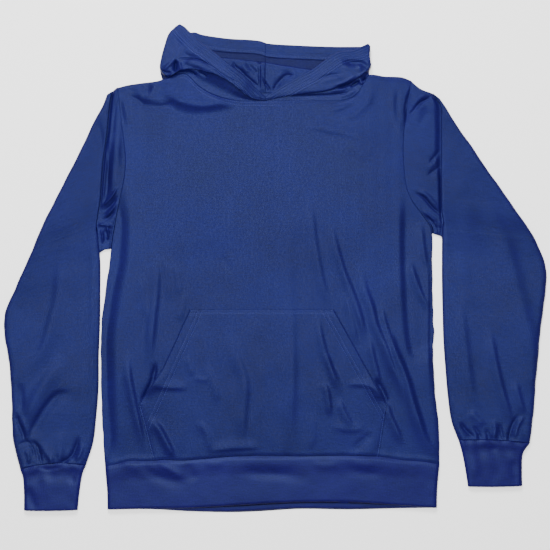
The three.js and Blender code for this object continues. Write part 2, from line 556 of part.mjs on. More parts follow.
// ---------------------------------------------------------------- sleeves
const CAP_STEPS = 2;
const TURN_STEPS = 3;
const ROLL_STEPS = 4;
const TOP_STEPS = 9;
const OUTER_STEPS = 4;
const BACK_STEPS = 6;
const HALF = CLOTH / 2;
const LOW = HALF;                               // middle line of the layer on the surface
const SEAM_Z = CLOTH + SEAM_GAP + HALF;         // middle line of the front armhole seam
const TUCK_Z = 4.2;                             // height where the pleat turns back
const TUCK_RADIUS = 1.1;
const PLEAT_RETURN = 5.5;                       // layer that comes back over the pleat
const PLEAT_LIFT = 1.5;                         // extra height of the top over a pleat
const WEB_PATH = [2.1, 3, 3.6];                 // heights of a plain section's first points
const CUFF_TAPER = 3;                           // sections that settle to the cuff's height

/** Middle line of a section through a pleated sleeve head, as (s, z) from the armhole seam. */
function pleatedPath(width, reach, top) {
  const rollX = Math.min(5, width * 0.3);
  const outerX = Math.min(9, width * 0.35);
  const tuck = Math.max(Math.min(PLEAT, width - outerX - 3), rollX + 0.6);
  const path = [[-reach, SEAM_Z], [-reach * 0.5, SEAM_Z + 1.6], [-0.5, SEAM_Z + 0.5]];
  for (let i = 0; i <= TURN_STEPS; i += 1) {
    const angle = -Math.PI / 2 + Math.PI * i / TURN_STEPS;
    path.push([tuck + TUCK_RADIUS * Math.cos(angle), TUCK_Z + TUCK_RADIUS * Math.sin(angle)]);
  }
  const middle = (PLEAT_RETURN + top) / 2;
  for (let i = 0; i <= ROLL_STEPS; i += 1) {
    const angle = Math.PI * i / ROLL_STEPS;
    const rise = (top - middle) * Math.cos(angle);
    path.push([rollX - (rollX - HALF) * Math.sin(angle), middle - rise]);
  }
  return finishPath(path, rollX, width, outerX, reach, top);
}

/** Middle line of a plain section: a flattened tube, with a web that reaches to the underarm. */
function plainPath(width, reach, top) {
  const rollX = Math.min(9, width * 0.35);
  const middle = (LOW + top) / 2;
  const ellipse = (z) => rollX - (rollX - HALF)
    * Math.sqrt(Math.max(0, 1 - ((z - middle) / (top - LOW) * 2) ** 2));
  const web = smooth(reach / 8);
  const [low, half, full] = WEB_PATH;
  const path = [
    [lerp(ellipse(low), HALF, web) - reach, low],
    [ellipse(half) - reach * 0.5, half],
    [ellipse(full), full],
  ];
  const rest = TURN_STEPS + ROLL_STEPS + 2;
  const from = Math.asin((full - middle) / (top - LOW) * 2);
  for (let i = 1; i <= rest; i += 1) {
    const angle = lerp(from, Math.PI / 2, i / rest);
    const z = middle + (top - LOW) / 2 * Math.sin(angle);
    path.push([rollX - (rollX - HALF) * Math.cos(angle), z]);
  }
  return finishPath(path, rollX, width, rollX, reach, top);
}

/** Adds the top, the outer fold and the layer underneath to a section's path. */
function finishPath(path, rollX, width, outerX, reach, top) {
  for (let i = 1; i <= TOP_STEPS; i += 1) {
    path.push([lerp(rollX, width - outerX, i / TOP_STEPS), top]);
  }
  for (let i = 1; i <= OUTER_STEPS; i += 1) {
    const angle = Math.PI / 2 - Math.PI * i / OUTER_STEPS;
    path.push([width - outerX + (outerX - HALF) * Math.cos(angle),
      (top + LOW) / 2 + (top - LOW) / 2 * Math.sin(angle)]);
  }
  const back = [0.72, 0.5, 0.28, 0].map((share) => [width * share, LOW]);
  back.push([-reach * 0.5, LOW], [-reach, LOW]);
  return [...path, ...back];
}

/** Share of a seam's bow at height z: the layer underneath lies straighter than the top. */
function seamLift(z) {
  return lerp(0.25, 1, clamp01(z / (2 * RIB + RIB_LOFT)));
}

/** Outer and inner points of one sleeve section. */
function sleeveSection(section, folds, end) {
  const { seam, fold, outer, pleat, open } = section;
  const width = fold.distanceTo(outer);
  const reach = seam.distanceTo(fold);
  const top = lerp(SLEEVE_TOP, RIB + RIB_LOFT + RIB - HALF, end);
  const plain = plainPath(width, reach, top);
  let path = plain;
  if (open) {
    const pleated = pleatedPath(width, reach, top + PLEAT_LIFT);
    path = pleated.map(([s, z], i) => {
      const atSeam = i === 0 || i >= pleated.length - BACK_STEPS;
      return atSeam ? [s, z] : [lerp(plain[i][0], s, pleat), lerp(plain[i][1], z, pleat)];
    });
  } else {
    path[path.length - 1] = path[0];
    if (reach < 1) path[path.length - 2] = [path[0][0] * 0.5, (LOW + WEB_PATH[0]) / 2];
  }
  const count = path.length;
  const topFrom = CAP_STEPS + TURN_STEPS + ROLL_STEPS + 2;
  const along = new THREE.Vector2().subVectors(outer, fold).normalize();
  const back = reach > 0.01
    ? new THREE.Vector2().subVectors(seam, fold).divideScalar(reach)
    : along.clone().negate();
  const place = (s, z, isTop) => {
    const direction = s >= 0 ? along : back;
    const x = fold.x + direction.x * Math.abs(s);
    const y = fold.y + direction.y * Math.abs(s);
    const bowShare = clamp01(s / width);
    const bow = section.bow * 4 * bowShare * (1 - bowShare) * seamLift(z);
    const relief = isTop ? foldHeight(folds, x, y) : 0;
    return new THREE.Vector3(x, y + bow, z + relief);
  };
  const sides = [[], []];
  for (let i = 0; i < count; i += 1) {
    const wrap = !open;
    const before = path[i === 0 ? (wrap ? count - 2 : 0) : i - 1];
    const after = path[i === count - 1 ? (wrap ? 1 : count - 1) : i + 1];
    const length = Math.hypot(after[0] - before[0], after[1] - before[1]);
    const normal = [-(after[1] - before[1]) / length, (after[0] - before[0]) / length];
    const isTop = i >= topFrom && i <= topFrom + TOP_STEPS;
    [HALF, -HALF].forEach((offset, side) => {
      sides[side].push(place(path[i][0] + normal[0] * offset, path[i][1] + normal[1] * offset, isTop));
    });
  }
  return sides;
}

/** A sleeve: open sections along the armhole, one for each row of the body, then rings. */
function sleeve(table, edgeColumn, folds, endBow) {
  const column = (name) => spline(table, 'at', name);
  const [foldX, foldY, outerX, outerY, pleat] = ['foldX', 'foldY', 'outerX', 'outerY', 'pleat'].map(column);
  const outward = Math.sign(outerX(0));
  const sections = [];
  const armhole = frontPlan.slice(FIRST_CHEST_ROW).map((row) => row[edgeColumn]).reverse();
  const last = table[table.length - 1];
  const sectionAt = (at, seam, open, down) => ({
    seam,
    fold: new THREE.Vector2(foldX(at), foldY(at)),
    outer: new THREE.Vector2(outerX(at), outerY(at)),
    pleat: clamp01(pleat(at)),
    open,
    bow: endBow * smooth((down - 0.6) / 0.4),
  });
  for (const p of armhole) {
    const seam = new THREE.Vector2(p.x + outward * SEAM_GAP, p.y);
    sections.push(sectionAt(p.y, seam, sections.length < armhole.length - 1, 0));
  }
  const underarm = armhole[armhole.length - 1].y;
  const lower = table.filter((row) => row.at < underarm - 5);
  for (const row of lower) {
    const down = (underarm - row.at) / (underarm - last.at);
    const section = sectionAt(row.at, null, false, down);
    section.seam = section.fold;
    sections.push(section);
  }
  const walls = sections.map((section, i) => {
    const end = smooth((i - sections.length + 1 + CUFF_TAPER) / CUFF_TAPER);
    return sleeveSection(section, folds, end);
  });
  return wall(walls.map((w) => w[0]), walls.map((w) => w[1]), armhole.length - 1);
}
add('sleeve_right', sleeve(SLEEVE_RIGHT, 0, SLEEVE_RIGHT_FOLDS, CUFF_RIGHT[0].bow), JERSEY_BLUE);
add('sleeve_left', sleeve(SLEEVE_LEFT, LAST_COLUMN, SLEEVE_LEFT_FOLDS, CUFF_LEFT[0].bow), JERSEY_BLUE);

// ---------------------------------------------------------------- cuffs
const CUFF_SIDE_STEPS = 4;
const CUFF_TOP_STEPS = 6;

/** Loop of a flat cuff section between its inner and outer edge. */
function cuffLoop(row, inset, gap) {
  const inner = new THREE.Vector2(row.innerX, row.innerY - gap);
  const outer = new THREE.Vector2(row.outerX, row.outerY - gap);
  const width = inner.distanceTo(outer);
  const along = outer.clone().sub(inner).normalize();
  const half = BAND_TOP_Z / 2;
  const foldWidth = 7 - inset * 0.7;
  const start = inset * 0.5 + foldWidth;
  const finish = width - start;
  const points = [];
  const push = (s, z) => {
    const share = s / width;
    const bow = row.bow * 4 * share * (1 - share) * seamLift(z);
    points.push(new THREE.Vector3(inner.x + along.x * s, inner.y + along.y * s + bow, z));
  };
  for (let i = 0; i <= CUFF_TOP_STEPS; i += 1) {
    push(lerp(start, finish, i / CUFF_TOP_STEPS), half + (half - inset));
  }
  for (let i = 1; i < CUFF_SIDE_STEPS; i += 1) {
    const angle = Math.PI / 2 - Math.PI * i / CUFF_SIDE_STEPS;
    push(finish + foldWidth * Math.cos(angle), half + (half - inset) * Math.sin(angle));
  }
  for (let i = CUFF_TOP_STEPS; i >= 0; i -= 1) {
    push(lerp(start, finish, i / CUFF_TOP_STEPS), inset);
  }
  for (let i = 1; i < CUFF_SIDE_STEPS; i += 1) {
    const angle = -Math.PI / 2 - Math.PI * i / CUFF_SIDE_STEPS;
    push(start + foldWidth * Math.cos(angle), half + (half - inset) * Math.sin(angle));
  }
  points.push(points[0].clone());
  return points;
}
function cuff(table) {
  const gapAt = (i) => (i === 0 ? SEAM_GAP * 1.3 : 0);
  return wall(
    table.map((row, i) => cuffLoop(row, 0, gapAt(i))),
    table.map((row, i) => cuffLoop(row, RIB, gapAt(i))),
    0,
  );
}
add('cuff_right', cuff(CUFF_RIGHT), RIB_BLUE);
add('cuff_left', cuff(CUFF_LEFT), RIB_BLUE);

// ---------------------------------------------------------------- hood
const WING_STEPS = [0, 0.08, 0.2, 0.36, 0.54, 0.72, 0.86, 1];
const rimTop = spline(HOOD_RIM_TOP, 'x', 'y');
const napeFold = spline(NAPE_FOLD, 'x', 'y');
const backNeck = spline(BACK_TOP, 'x', 'y');
const neckRow = frontPlan[frontPlan.length - 1];

/** Point of the hood's neck seam beside a neckline point of the front panel. */
function neckSeam(column) {
  const before = neckRow[Math.max(LEFT_END, column - 1)];
  const after = neckRow[Math.min(RIGHT_START, column + 1)];
  const tangent = after.clone().sub(before).normalize();
  const gap = SEAM_GAP * 1.3;
  return new THREE.Vector2(neckRow[column].x - tangent.y * gap, neckRow[column].y + tangent.x * gap);
}

/** The hood's front, leaning over the neckline, with a turned hem along its rim. */
function wing(table, side, middleX) {
  const under = table.map((row, r) => {
    const column = LEFT_END + V_COLUMN + side * r;
    const seam = row.edgeX === undefined ? neckSeam(column) : new THREE.Vector2(row.edgeX, row.edgeY);
    if (r === 0) seam.x = middleX;
    return WING_STEPS.map((share) => {
      const base = lerp(row.seat, row.rest, share);
      const z = base + (row.crown - base) * Math.sin(Math.PI * share) ** 0.75;
      return new THREE.Vector3(lerp(seam.x, row.rimX, share), lerp(seam.y, row.rimY, share), z);
    });
  });
  return sheet(under, (r, c) => CLOTH * (c >= WING_STEPS.length - 2 ? 2 : 1));
}

/** The part of the hood that lies on the surface: rim hem above, hidden layers below. */
function hoodBase(edgeTable, middleX) {
  const edge = spline(edgeTable, 'y', 'x');
  const shares = [0, 0.05, 0.2, 0.4, 0.6, 0.8, 1];
  const hidden = [
    { down: 0, height: 1.6 }, { down: 8, height: 3.8 }, { down: 25, height: HOOD_BAG },
    { down: 65, height: HOOD_BAG }, { down: 120, height: HOOD_BAG }, { down: 180, height: HOOD_BAG },
  ];
  const under = [];
  const thick = [];
  const addRow = (yAt, thickAt) => {
    under.push(shares.map((share) => {
      const y = yAt(share);
      return new THREE.Vector3(lerp(edge(y), middleX, share), y, 0);
    }));
    thick.push(shares.map((share, c) => (c === 0 ? Math.min(2, thickAt) : thickAt)));
  };
  for (const row of hidden) addRow(() => HOOD_BAG_FLOOR + row.down, row.height);
  const topEdge = edgeTable[edgeTable.length - 1].x;
  const rimAt = (share) => rimTop(lerp(topEdge, middleX, share));
  const foldAt = (share) => napeFold(lerp(edge(335), middleX, share));
  addRow((share) => foldAt(share) - 6, HOOD_BAG);
  addRow((share) => foldAt(share) - 1, 3);
  addRow((share) => lerp(foldAt(share), rimAt(share), 0.5), CLOTH * 2);
  addRow(rimAt, CLOTH * 2);
  return sheet(under, (r, c) => thick[r][c]);
}

/** The nape: from the back neckline up to its fold, where it turns down behind. */
function nape(endX, middleX) {
  const rows = [
    { up: 0, above: 0.9 }, { up: 0.35, above: 2.4 }, { up: 0.7, above: 2.6 }, { up: 0.93, above: 1 },
    { up: 1, above: -3 },
  ];
  const span = [Math.min(endX, middleX), Math.max(endX, middleX)];
  const seam = backPlan[backPlan.length - 1].filter((p) => p.x > span[0] && p.x < span[1]);
  const middle = new THREE.Vector2(middleX, backNeck(middleX));
  seam.sort((a, b) => a.x - b.x);
  if (endX < middleX) seam.push(middle);
  else seam.unshift(middle);
  const under = rows.map((row) => seam.map((p) => {
    const y = lerp(p.y + 2 * SEAM_GAP, napeFold(p.x), row.up);
    return new THREE.Vector3(p.x, y, HOOD_BAG + row.above);
  }));
  return sheet(under, (r) => (r === rows.length - 1 ? 2.4 * CLOTH : CLOTH));
}

function hoodHalf(wingTable, edgeTable, side, endX) {
  const middleX = HOOD_SEAM_X + side * SEAM_GAP / 2;
  return fromManifold(toManifold(wing(wingTable, side, middleX))
    .add(toManifold(hoodBase(edgeTable, middleX)))
    .add(toManifold(nape(endX, middleX))));
}
add('hood_right', hoodHalf(WING_RIGHT, HOOD_EDGE_RIGHT, -1, NAPE_ENDS.left), JERSEY_BLUE);
add('hood_left', hoodHalf(WING_LEFT, HOOD_EDGE_LEFT, 1, NAPE_ENDS.right), JERSEY_BLUE);

export default group;
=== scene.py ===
"""Pullover hoodie in thin blue jersey, laid flat on a pale surface and seen from straight above."""
import math
import bpy
import numpy as np
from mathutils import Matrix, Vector


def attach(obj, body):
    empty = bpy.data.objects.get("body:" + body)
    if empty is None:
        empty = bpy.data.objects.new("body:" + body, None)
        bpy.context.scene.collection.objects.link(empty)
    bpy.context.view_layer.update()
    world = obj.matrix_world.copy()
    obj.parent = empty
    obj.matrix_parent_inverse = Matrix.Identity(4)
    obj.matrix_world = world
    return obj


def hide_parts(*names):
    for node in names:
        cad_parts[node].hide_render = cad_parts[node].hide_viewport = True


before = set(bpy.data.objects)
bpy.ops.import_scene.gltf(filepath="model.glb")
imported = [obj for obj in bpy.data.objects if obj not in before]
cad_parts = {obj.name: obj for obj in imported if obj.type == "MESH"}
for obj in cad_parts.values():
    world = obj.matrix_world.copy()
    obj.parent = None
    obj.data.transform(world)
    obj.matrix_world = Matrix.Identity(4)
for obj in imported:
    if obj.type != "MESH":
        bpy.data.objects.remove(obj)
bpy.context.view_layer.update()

# ------------------------------------------------------------------ sizes, in millimetres
# x runs to the wearer's left, y up to the hood and z up from the surface.
MM = 0.001
CLOTH = 1.5            # jersey wall
HALF = CLOTH / 2       # from the middle line of the jersey to its face
RIB = 2.6              # doubled rib wall
SEAM_GAP = 0.3         # between layers that lie on each other
CLOSE_GAP = 0.08       # between pieces that are sewn edge to edge
LEAST_AIR = 0.5        # between the layers of the body under its deepest folds
BODY_LOFT = 4.0        # air between front and back
RIB_LOFT = 2.4         # air inside the waistband and the cuffs
BAND_TOP = 2 * RIB + RIB_LOFT
RIB_HEIGHT = 75.0      # waistband and cuffs, from seam to edge
SLEEVE_TOP = 6.3       # middle line of the cloth on top of a sleeve
EDGE_ROLL = 12.0       # how far in the front rounds down to its seams
BODY_SIZE = (540.0, 620.0)       # width and length, which set how fine the cut edges are
SHOULDER_Y = 300.0     # about where the shoulders meet the side lines
HEM_Y = -318.0         # and where the hem does
ARMHOLE_Y = 50.0       # where the side seams give way to the armholes, over the next length
ARMHOLE_SOFT = 26.0
NECK_RISE = 3.0        # lift of the front at the neckline
NECK_SIDES = (-172.0, 166.0)
NECK_SOFT = 22.0       # width in which the neckline's lift and stitching fade out
HOOD_SPAN = (-262.0, 238.0)      # where the front is carried over the hood's hidden layers
PLEAT = 13.0           # how far a sleeve head is tucked in under its sleeve
UNDERARM = {-1: 32.0, 1: 58.0}   # heights, for the wearer's right (-1) and left (+1)

HOOD_SEAM_X = -16.0
HOOD_BAG = 5.0         # thickness of the hood's hidden layers
HOOD_BAG_FLOOR = 110.0
HOOD_BAG_TOP = 300.0   # from here up its rows follow the fold behind the neck
HOOD_TURN_Y = 335.0    # about where the hood turns down behind
HOOD_SIDES = (-192.0, 160.0)
STRIP_X = -25.0        # outer edge of the raised strip beside the hood's centre seam
BACK_RAMP = (8.0, 44.0)          # where the back comes down beside the hood: start and width
OVER_BAG = HOOD_BAG + SEAM_GAP + 0.2
HEM_WIDTH = 22.0       # turned hem round the hood's opening
TURNED_HEM = 1.2       # what the turned hem adds to the cloth

POCKET_TOP = -68.0
POCKET_CORNER = -226.0           # lower end of the slanted openings
POCKET_CLOTH = 1.1
MOUTH_GAPE = 4.2
POCKET_STITCH = 6.4              # row of stitching below the pocket's top edge
MOUTH_STITCH = (15.5, 22.5)      # rows of stitching in from the slanted openings
SIDE_STITCH = 2.2                # row of stitching in from the pocket's lower sides
NECK_STITCH = (2.4, 7.5)         # rows of stitching below the neckline

# ------------------------------------------------------------------ outline tables
# Side seams, then armholes, from hem to shoulder: (y, x).
LEFT_EDGE = [
    (-330, -283), (-286, -286), (-219, -289), (-152, -290), (-94, -289), (-40, -282.5),
    (10, -275.5), (48, -271), (84, -264.5), (118, -258), (151, -251), (183, -249),
    (215, -252), (250, -256.5), (300.5, -262),
]
RIGHT_EDGE = [
    (-330, 274), (-286, 273.5), (-262, 273), (-230, 269), (-190, 265.5), (-144, 263.5),
    (-110, 264), (-60, 262.8), (10, 261.5),
    (66, 260), (92, 243), (112, 228.5), (135, 219), (164, 215), (198, 213.5), (231, 215),
    (270, 219), (300, 224), (312, 227),
]
# Shoulders and necklines: (x, y).
SHOULDER_RIGHT = [(-262, 300.5), (-244, 305), (-226, 307.5), (-196, 311), (-176, 318), (-162, 323)]
SHOULDER_LEFT = [(156, 321), (182, 319), (211, 318), (227, 312)]
FRONT_TOP = SHOULDER_RIGHT + [
    (-147, 322), (-137, 313), (-127, 303), (-109, 292), (-86, 283.5), (-62, 278.5), (-40, 277.5),
    (-16, 278), (58, 279), (96, 278), (122, 282), (138, 293), (149, 309),
] + SHOULDER_LEFT
BACK_TOP = SHOULDER_RIGHT + [
    (-146, 319), (-118, 307), (-68, 295), (-16, 291), (58, 294), (110, 302), (140, 312),
] + SHOULDER_LEFT
# Lower edges: (x, y).
HEM = [
    (-283, -329), (-259, -324), (-239, -319.5), (-218, -320.5), (-184, -318), (-151, -319),
    (-76, -313), (-22, -311), (41, -312), (116, -311), (171, -312.5), (208, -318),
    (249, -321.5), (274, -326),
]
BAND_FRONT = [
    (-280, -401), (-209, -399), (-142, -398), (-59, -393), (-9, -390), (41, -388), (124, -388),
    (174, -391), (268, -398),
]
BAND_BACK = [
    (-280, -402), (-209, -401.5), (-142, -405), (-76, -406.5), (-26, -405), (41, -401),
    (124, -402), (208, -400), (268, -399),
]
# Ends of the waistband: (share of its height from the seam down, x).
BAND_LEFT = [(0, -283), (0.25, -281.5), (0.6, -279.5), (1, -279)]
BAND_RIGHT = [(0, 274), (0.25, 272), (0.6, 270), (1, 269.3)]
# Sides of the pocket: (y, x).
POCKET_LEFT = [(-330, -200), (-226, -227), (-188, -201), (-166, -187), (-130, -170), (-68, -142)]
POCKET_RIGHT = [(-330, 170), (-226, 186), (-68, 98)]

# ------------------------------------------------------------------ fold tables
# Ridges (+) and troughs (-), each along a path: points, width left, width right, height. Left
# and right are seen along the path. Each path is placed where the laid cloth folds.
BODY_FOLDS = [
    # long drags that run down to the right side of the hem
    ([(144, -2), (151, -36), (161, -64), (169, -96), (183, -129), (194, -161), (208, -194), (212, -222)],
     4, 12, 3.6),
    ([(192, -102), (200, -136), (210, -161), (220, -188), (230, -224), (239, -252), (250, -284),
      (264, -306)], 5, 13, 5.5),
    ([(91, 81), (104, 31), (117, -11), (131, -44), (143, -78), (147, -119)], 3, 10, 2.6),
    ([(116, -40), (126, -75), (132, -103), (136, -130)], 3, 9, 1.9),
    ([(60, 116), (65, 56), (73, 6), (83, -36), (98, -68)], 4, 12, 2.0),
    ([(157, -110), (163, -144), (170, -172), (176, -198)], 3, 8, 2.4),
    ([(120, -30), (132, -62), (146, -92), (158, -126)], 3, 7, 1.4),
    ([(176, -60), (184, -92), (196, -128), (206, -150)], 3, 9, 1.9),
    ([(183, -216), (191, -244), (201, -266), (212, -292)], 4, 9, 2.4),
    ([(225, 14), (232, -11), (241, -36), (255, -68)], 3, 8, 2.4),
    ([(242, 76), (246, 39), (251, 2)], 4, 7, 1.9),
    ([(252, 30), (255, -40), (254, -130), (257, -200)], 3, 6, 1.1),
    ([(20, 118), (22, 31), (25, -69), (28, -119), (29, -186), (25, -252), (27, -306)], 9, 14, 1.6),
    # left side
    ([(-196, 24), (-196, -30), (-201, -80), (-206, -130), (-208, -160)], 5, 11, 2.3),
    ([(-244, -140), (-242, -178), (-237, -205), (-231, -236), (-223, -272), (-218, -302)], 3.5, 9, 3.1),
    ([(-243, 130), (-240, 60), (-248, -20), (-259, -100), (-260, -219), (-256, -322)], 46, 44, 2.2),
    ([(-168, 12), (-160, -20), (-156, -50)], 4, 8, 1.4),
    ([(-183, 20), (-176, -20), (-174, -55)], 4, 6, 1.2),
    ([(-222, -10), (-218, -44), (-214, -84)], 5, 8, 1.1),
    ([(-150, -40), (-152, -60), (-158, -90)], 4, 7, 1.2),
    ([(-89, 22), (-80, 6), (-72, -12)], 5, 5, -0.6),
    ([(-200, -40), (-206, -90), (-210, -140)], 10, 8, 0.8),
    # gathers thrown by the hood on the left shoulder
    ([(-246, 288), (-229, 281), (-214, 270), (-196, 268), (-178, 271), (-164, 276)], 4, 4, -2.9),
    ([(-240, 276), (-226, 272), (-212, 266)], 4, 4, -1.2),
    ([(-236, 296), (-220, 290), (-206, 282), (-186, 282)], 6, 7, 1.7),
    ([(-190, 292), (-172, 287), (-158, 279), (-142, 274), (-118, 271), (-94, 274), (-62, 276)],
     20, 9, 5.0),
    ([(-184, 279), (-168, 263), (-148, 254), (-120, 252)], 7, 7, -1.1),
    ([(-214, 310), (-211, 295), (-216, 282)], 6, 8, -1.6),
    ([(-196, 308), (-207, 290), (-214, 276)], 5, 5, 1.3),
    ([(-252, 285), (-247, 262), (-242, 240)], 3, 5, 0.8),
    ([(-258, 280), (-253, 250), (-247, 228)], 4, 4, -0.7),
    # right of the neck and chest
    ([(145, 300), (138, 290), (128, 282), (108, 276), (90, 274)], 3, 5, -1.9),
    ([(154, 305), (141, 286), (125, 269), (98, 257)], 5, 6, -1.6),
    ([(150, 300), (136, 279), (114, 266), (86, 262)], 4, 5, 1.1),
    ([(164, 296), (152, 274), (132, 256), (108, 246)], 7, 6, 1.1),
    ([(226, 302), (219.5, 279), (217, 261), (218, 252), (214, 236)], 2.4, 2.4, -1.9),
    ([(48, 238), (80, 231), (118, 223), (160, 210)], 12, 5, 1.3),
    ([(112, 207), (136, 194), (158, 180)], 9, 6, 0.8),
    ([(206, 300), (202, 262), (206, 232)], 4, 5, -0.8),
    ([(196, 306), (196, 270), (212, 214)], 6, 5, 0.7),
    # wide soft waves of the laid cloth
    ([(-120, 200), (-110, 110), (-96, 20)], 26, 26, 0.6),
    ([(-20, 230), (-10, 140), (-5, 60)], 24, 28, 0.5),
    ([(-30, 90), (-33, 10), (-35, -60)], 14, 18, 0.6),
]
# Where the flat front turns down towards the sides: path, width, drop, on the path's left (+1)
# or right (-1).
BODY_STEPS = [
    ([(-252, 160), (-243, 114), (-240, 72), (-242, 14), (-248, -19), (-254, -52), (-261, -102),
      (-263, -136), (-261, -219), (-258, -286), (-256, -322)], 23, 6.4, -1),
    ([(208, 128), (206, 48), (208, -36), (211, -86), (216, -128), (226, -160)], 11, 3.4, 1),
]
# Where the front sinks under the pocket's openings.
MOUTH_TROUGHS = [
    ([(-198, -158), (-200.5, -174), (-204, -190), (-212, -206), (-223, -225)], 2.6, 4.5, -7),
    ([(167, -184), (173, -195), (180, -208), (188, -226)], 4, 2.4, -6),
]
BAND_FOLDS = [
    ([(-258, -320), (-240, -326), (-222, -334)], 8, 8, 0.7),
    ([(-232, -324), (-205, -340), (-178, -352), (-148, -356)], 7, 9, -0.9),
    ([(-196, -322), (-176, -334), (-150, -350)], 6, 6, 1.0),
    ([(-146, -324), (-140, -340), (-130, -352)], 8, 10, -0.8),
    ([(-118, -322), (-100, -326), (-84, -322)], 7, 7, 0.6),
    ([(-60, -336), (-10, -342), (40, -338)], 9, 9, -0.8),
    ([(-20, -330), (10, -345), (60, -350)], 8, 8, -0.4),
    ([(60, -322), (80, -328), (108, -326)], 6, 7, 0.5),
    ([(112, -326), (140, -338), (180, -342)], 8, 8, -0.6),
    ([(130, -322), (148, -328), (166, -324)], 6, 6, 0.3),
    ([(232, -334), (250, -352), (252, -372)], 9, 9, -0.3),
]
POCKET_FOLDS = [
    ([(70, -76), (78, -119), (90, -159), (104, -187), (112, -210)], 4, 9, 2.0),
    ([(86, -140), (96, -176), (102, -200)], 3.5, 7, 1.3),
    ([(73, -193), (84, -197), (89, -219), (92, -246)], 4, 7, 2.5),
    ([(106, -216), (115, -239), (129, -264)], 4, 8, 2.0),
    ([(119, -193), (141, -193), (158, -196), (172, -208)], 6, 4, 1.2),
    ([(95, -262), (120, -268), (150, -266)], 9, 5, 1.0),
    ([(129, -306), (144, -290), (162, -274)], 6, 6, -1.3),
    ([(-71, -108), (-66, -136), (-60, -156), (-52, -178), (-49, -200), (-51, -226), (-54, -258),
      (-56, -300)], 7, 13, 2.3),
    ([(-112, -160), (-104, -184), (-97, -206), (-96, -226)], 4, 8, 1.2),
    ([(-146, -146), (-140, -166), (-136, -180)], 3.5, 6, 0.9),
    ([(-136, -182), (-122, -185), (-108, -186)], 5, 4, 0.6),
    ([(-206, -194), (-190, -197), (-168, -198), (-146, -199)], 9, 4.5, 1.9),
    ([(-206, -250), (-192, -266), (-180, -288), (-166, -316)], 4, 9, 4.1),
    ([(-126, -252), (-112, -276), (-106, -306)], 5, 8, 1.6),
    ([(-112, -304), (-76, -299), (-24, -297)], 10, 5, 1.6),
    ([(-20, -150), (-22, -200), (-26, -262)], 9, 11, 0.9),
    ([(24, -90), (26, -180), (25, -300)], 9, 14, 1.2),
    ([(60, -240), (64, -270), (58, -304)], 6, 8, 1.0),
]
SLEEVE_RIGHT_FOLDS = [
    ([(-296, 252), (-290, 220), (-284, 190), (-284, 170)], 6, 10, -1.8),
    ([(-357, 22), (-362, -52), (-372, -90), (-380, -119), (-388, -138), (-398, -152), (-406, -174)],
     16, 8, 2.3),
    ([(-352, -150), (-372, -176), (-392, -206), (-406, -236), (-414, -270)], 16, 10, 2.8),
    ([(-340, -206), (-362, -210), (-378, -226), (-392, -247), (-402, -266), (-409, -286)], 11, 4.5, -2.9),
    ([(-424, -190), (-422, -222), (-424, -240)], 5, 6, -1.6),
    ([(-433, -238), (-427, -256), (-419, -276), (-416, -292)], 2.6, 3, -3.7),
    ([(-424, -244), (-416, -262), (-408, -282)], 4, 4, 1.4),
    ([(-428, -294), (-412, -289), (-403, -300), (-397, -320)], 3, 3, -2.5),
    ([(-406, -286), (-396, -296), (-391, -312), (-387, -328)], 3, 3.5, -3.7),
    ([(-414, -300), (-410, -312), (-408, -326)], 3, 3, 1.8),
    ([(-388, -290), (-381, -306), (-372, -318), (-362, -324)], 4, 4, 1.8),
    ([(-326, -280), (-331, -298), (-338, -312), (-350, -321), (-366, -325)], 3.5, 4.5, -3.4),
    ([(-320, -292), (-324, -308), (-332, -322)], 3.5, 3.5, 1.7),
    ([(-318, -320), (-340, -327), (-372, -327), (-400, -330), (-424, -333)], 3, 3, 1.4),
    ([(-354, -270), (-358, -300), (-360, -322)], 8, 8, 0.9),
    ([(-330, 90), (-338, 30), (-345, -40)], 12, 14, 0.7),
    ([(-304, 60), (-303, -60), (-304, -180), (-312, -260)], 3, 5, 0.8),
]
SLEEVE_LEFT_FOLDS = [
    ([(354, 116), (368, 72), (384, 38), (394, 0), (404, -40), (414, -78), (422, -112),
      (428, -160), (430, -192)], 13, 20, 2.5),
    ([(357, -98), (362, -128), (370, -169), (378, -202), (388, -236), (392, -258)], 4, 11, 2.2),
    ([(307, -52), (315, -119), (324, -190), (332, -222), (342, -224)], 7, 12, 1.8),
    ([(324, -236), (334, -248), (349, -262)], 6, 8, 1.5),
    ([(399, -186), (406, -214), (414, -244)], 4, 8, 1.8),
    ([(414, -246), (404, -262), (398, -284)], 3, 4, 2.1),
    ([(330, -262), (338, -274), (341, -286)], 3, 3.5, -2.3),
    ([(364, -252), (366, -270), (362, -286)], 3.5, 4, 1.8),
    ([(310, -284), (340, -288), (380, -288), (420, -289)], 3, 3, 1.4),
    ([(308, -256), (318, -270), (332, -282)], 3, 4, -3.2),
    ([(404, -244), (393, -266), (388, -290)], 3.5, 3, -3.0),
    ([(373, -258), (377, -274), (382, -290)], 3, 4, -2.3),
    ([(350, -266), (354, -278), (355, -290)], 3, 4, -1.8),
    ([(300, 160), (316, 100), (330, 40)], 16, 18, 0.8),
    ([(300, 30), (312, -20), (322, -70)], 12, 12, 0.7),
]
CUFF_RIGHT_FOLDS = [
    ([(-414, -362), (-404, -388), (-398, -404)], 7, 9, -0.9),
    ([(-396, -330), (-380, -334), (-362, -332), (-352, -330)], 4, 3, -0.8),
    ([(-334, -330), (-338, -346), (-334, -360)], 6, 6, -0.8),
    ([(-392, -340), (-380, -356), (-378, -390)], 9, 9, 0.6),
]
CUFF_LEFT_FOLDS = [
    ([(394, -318), (398, -340), (402, -360)], 6, 8, -0.8),
    ([(322, -292), (330, -312), (334, -350)], 8, 9, 0.6),
    ([(346, -290), (356, -300), (372, -298)], 5, 5, -0.6),
]
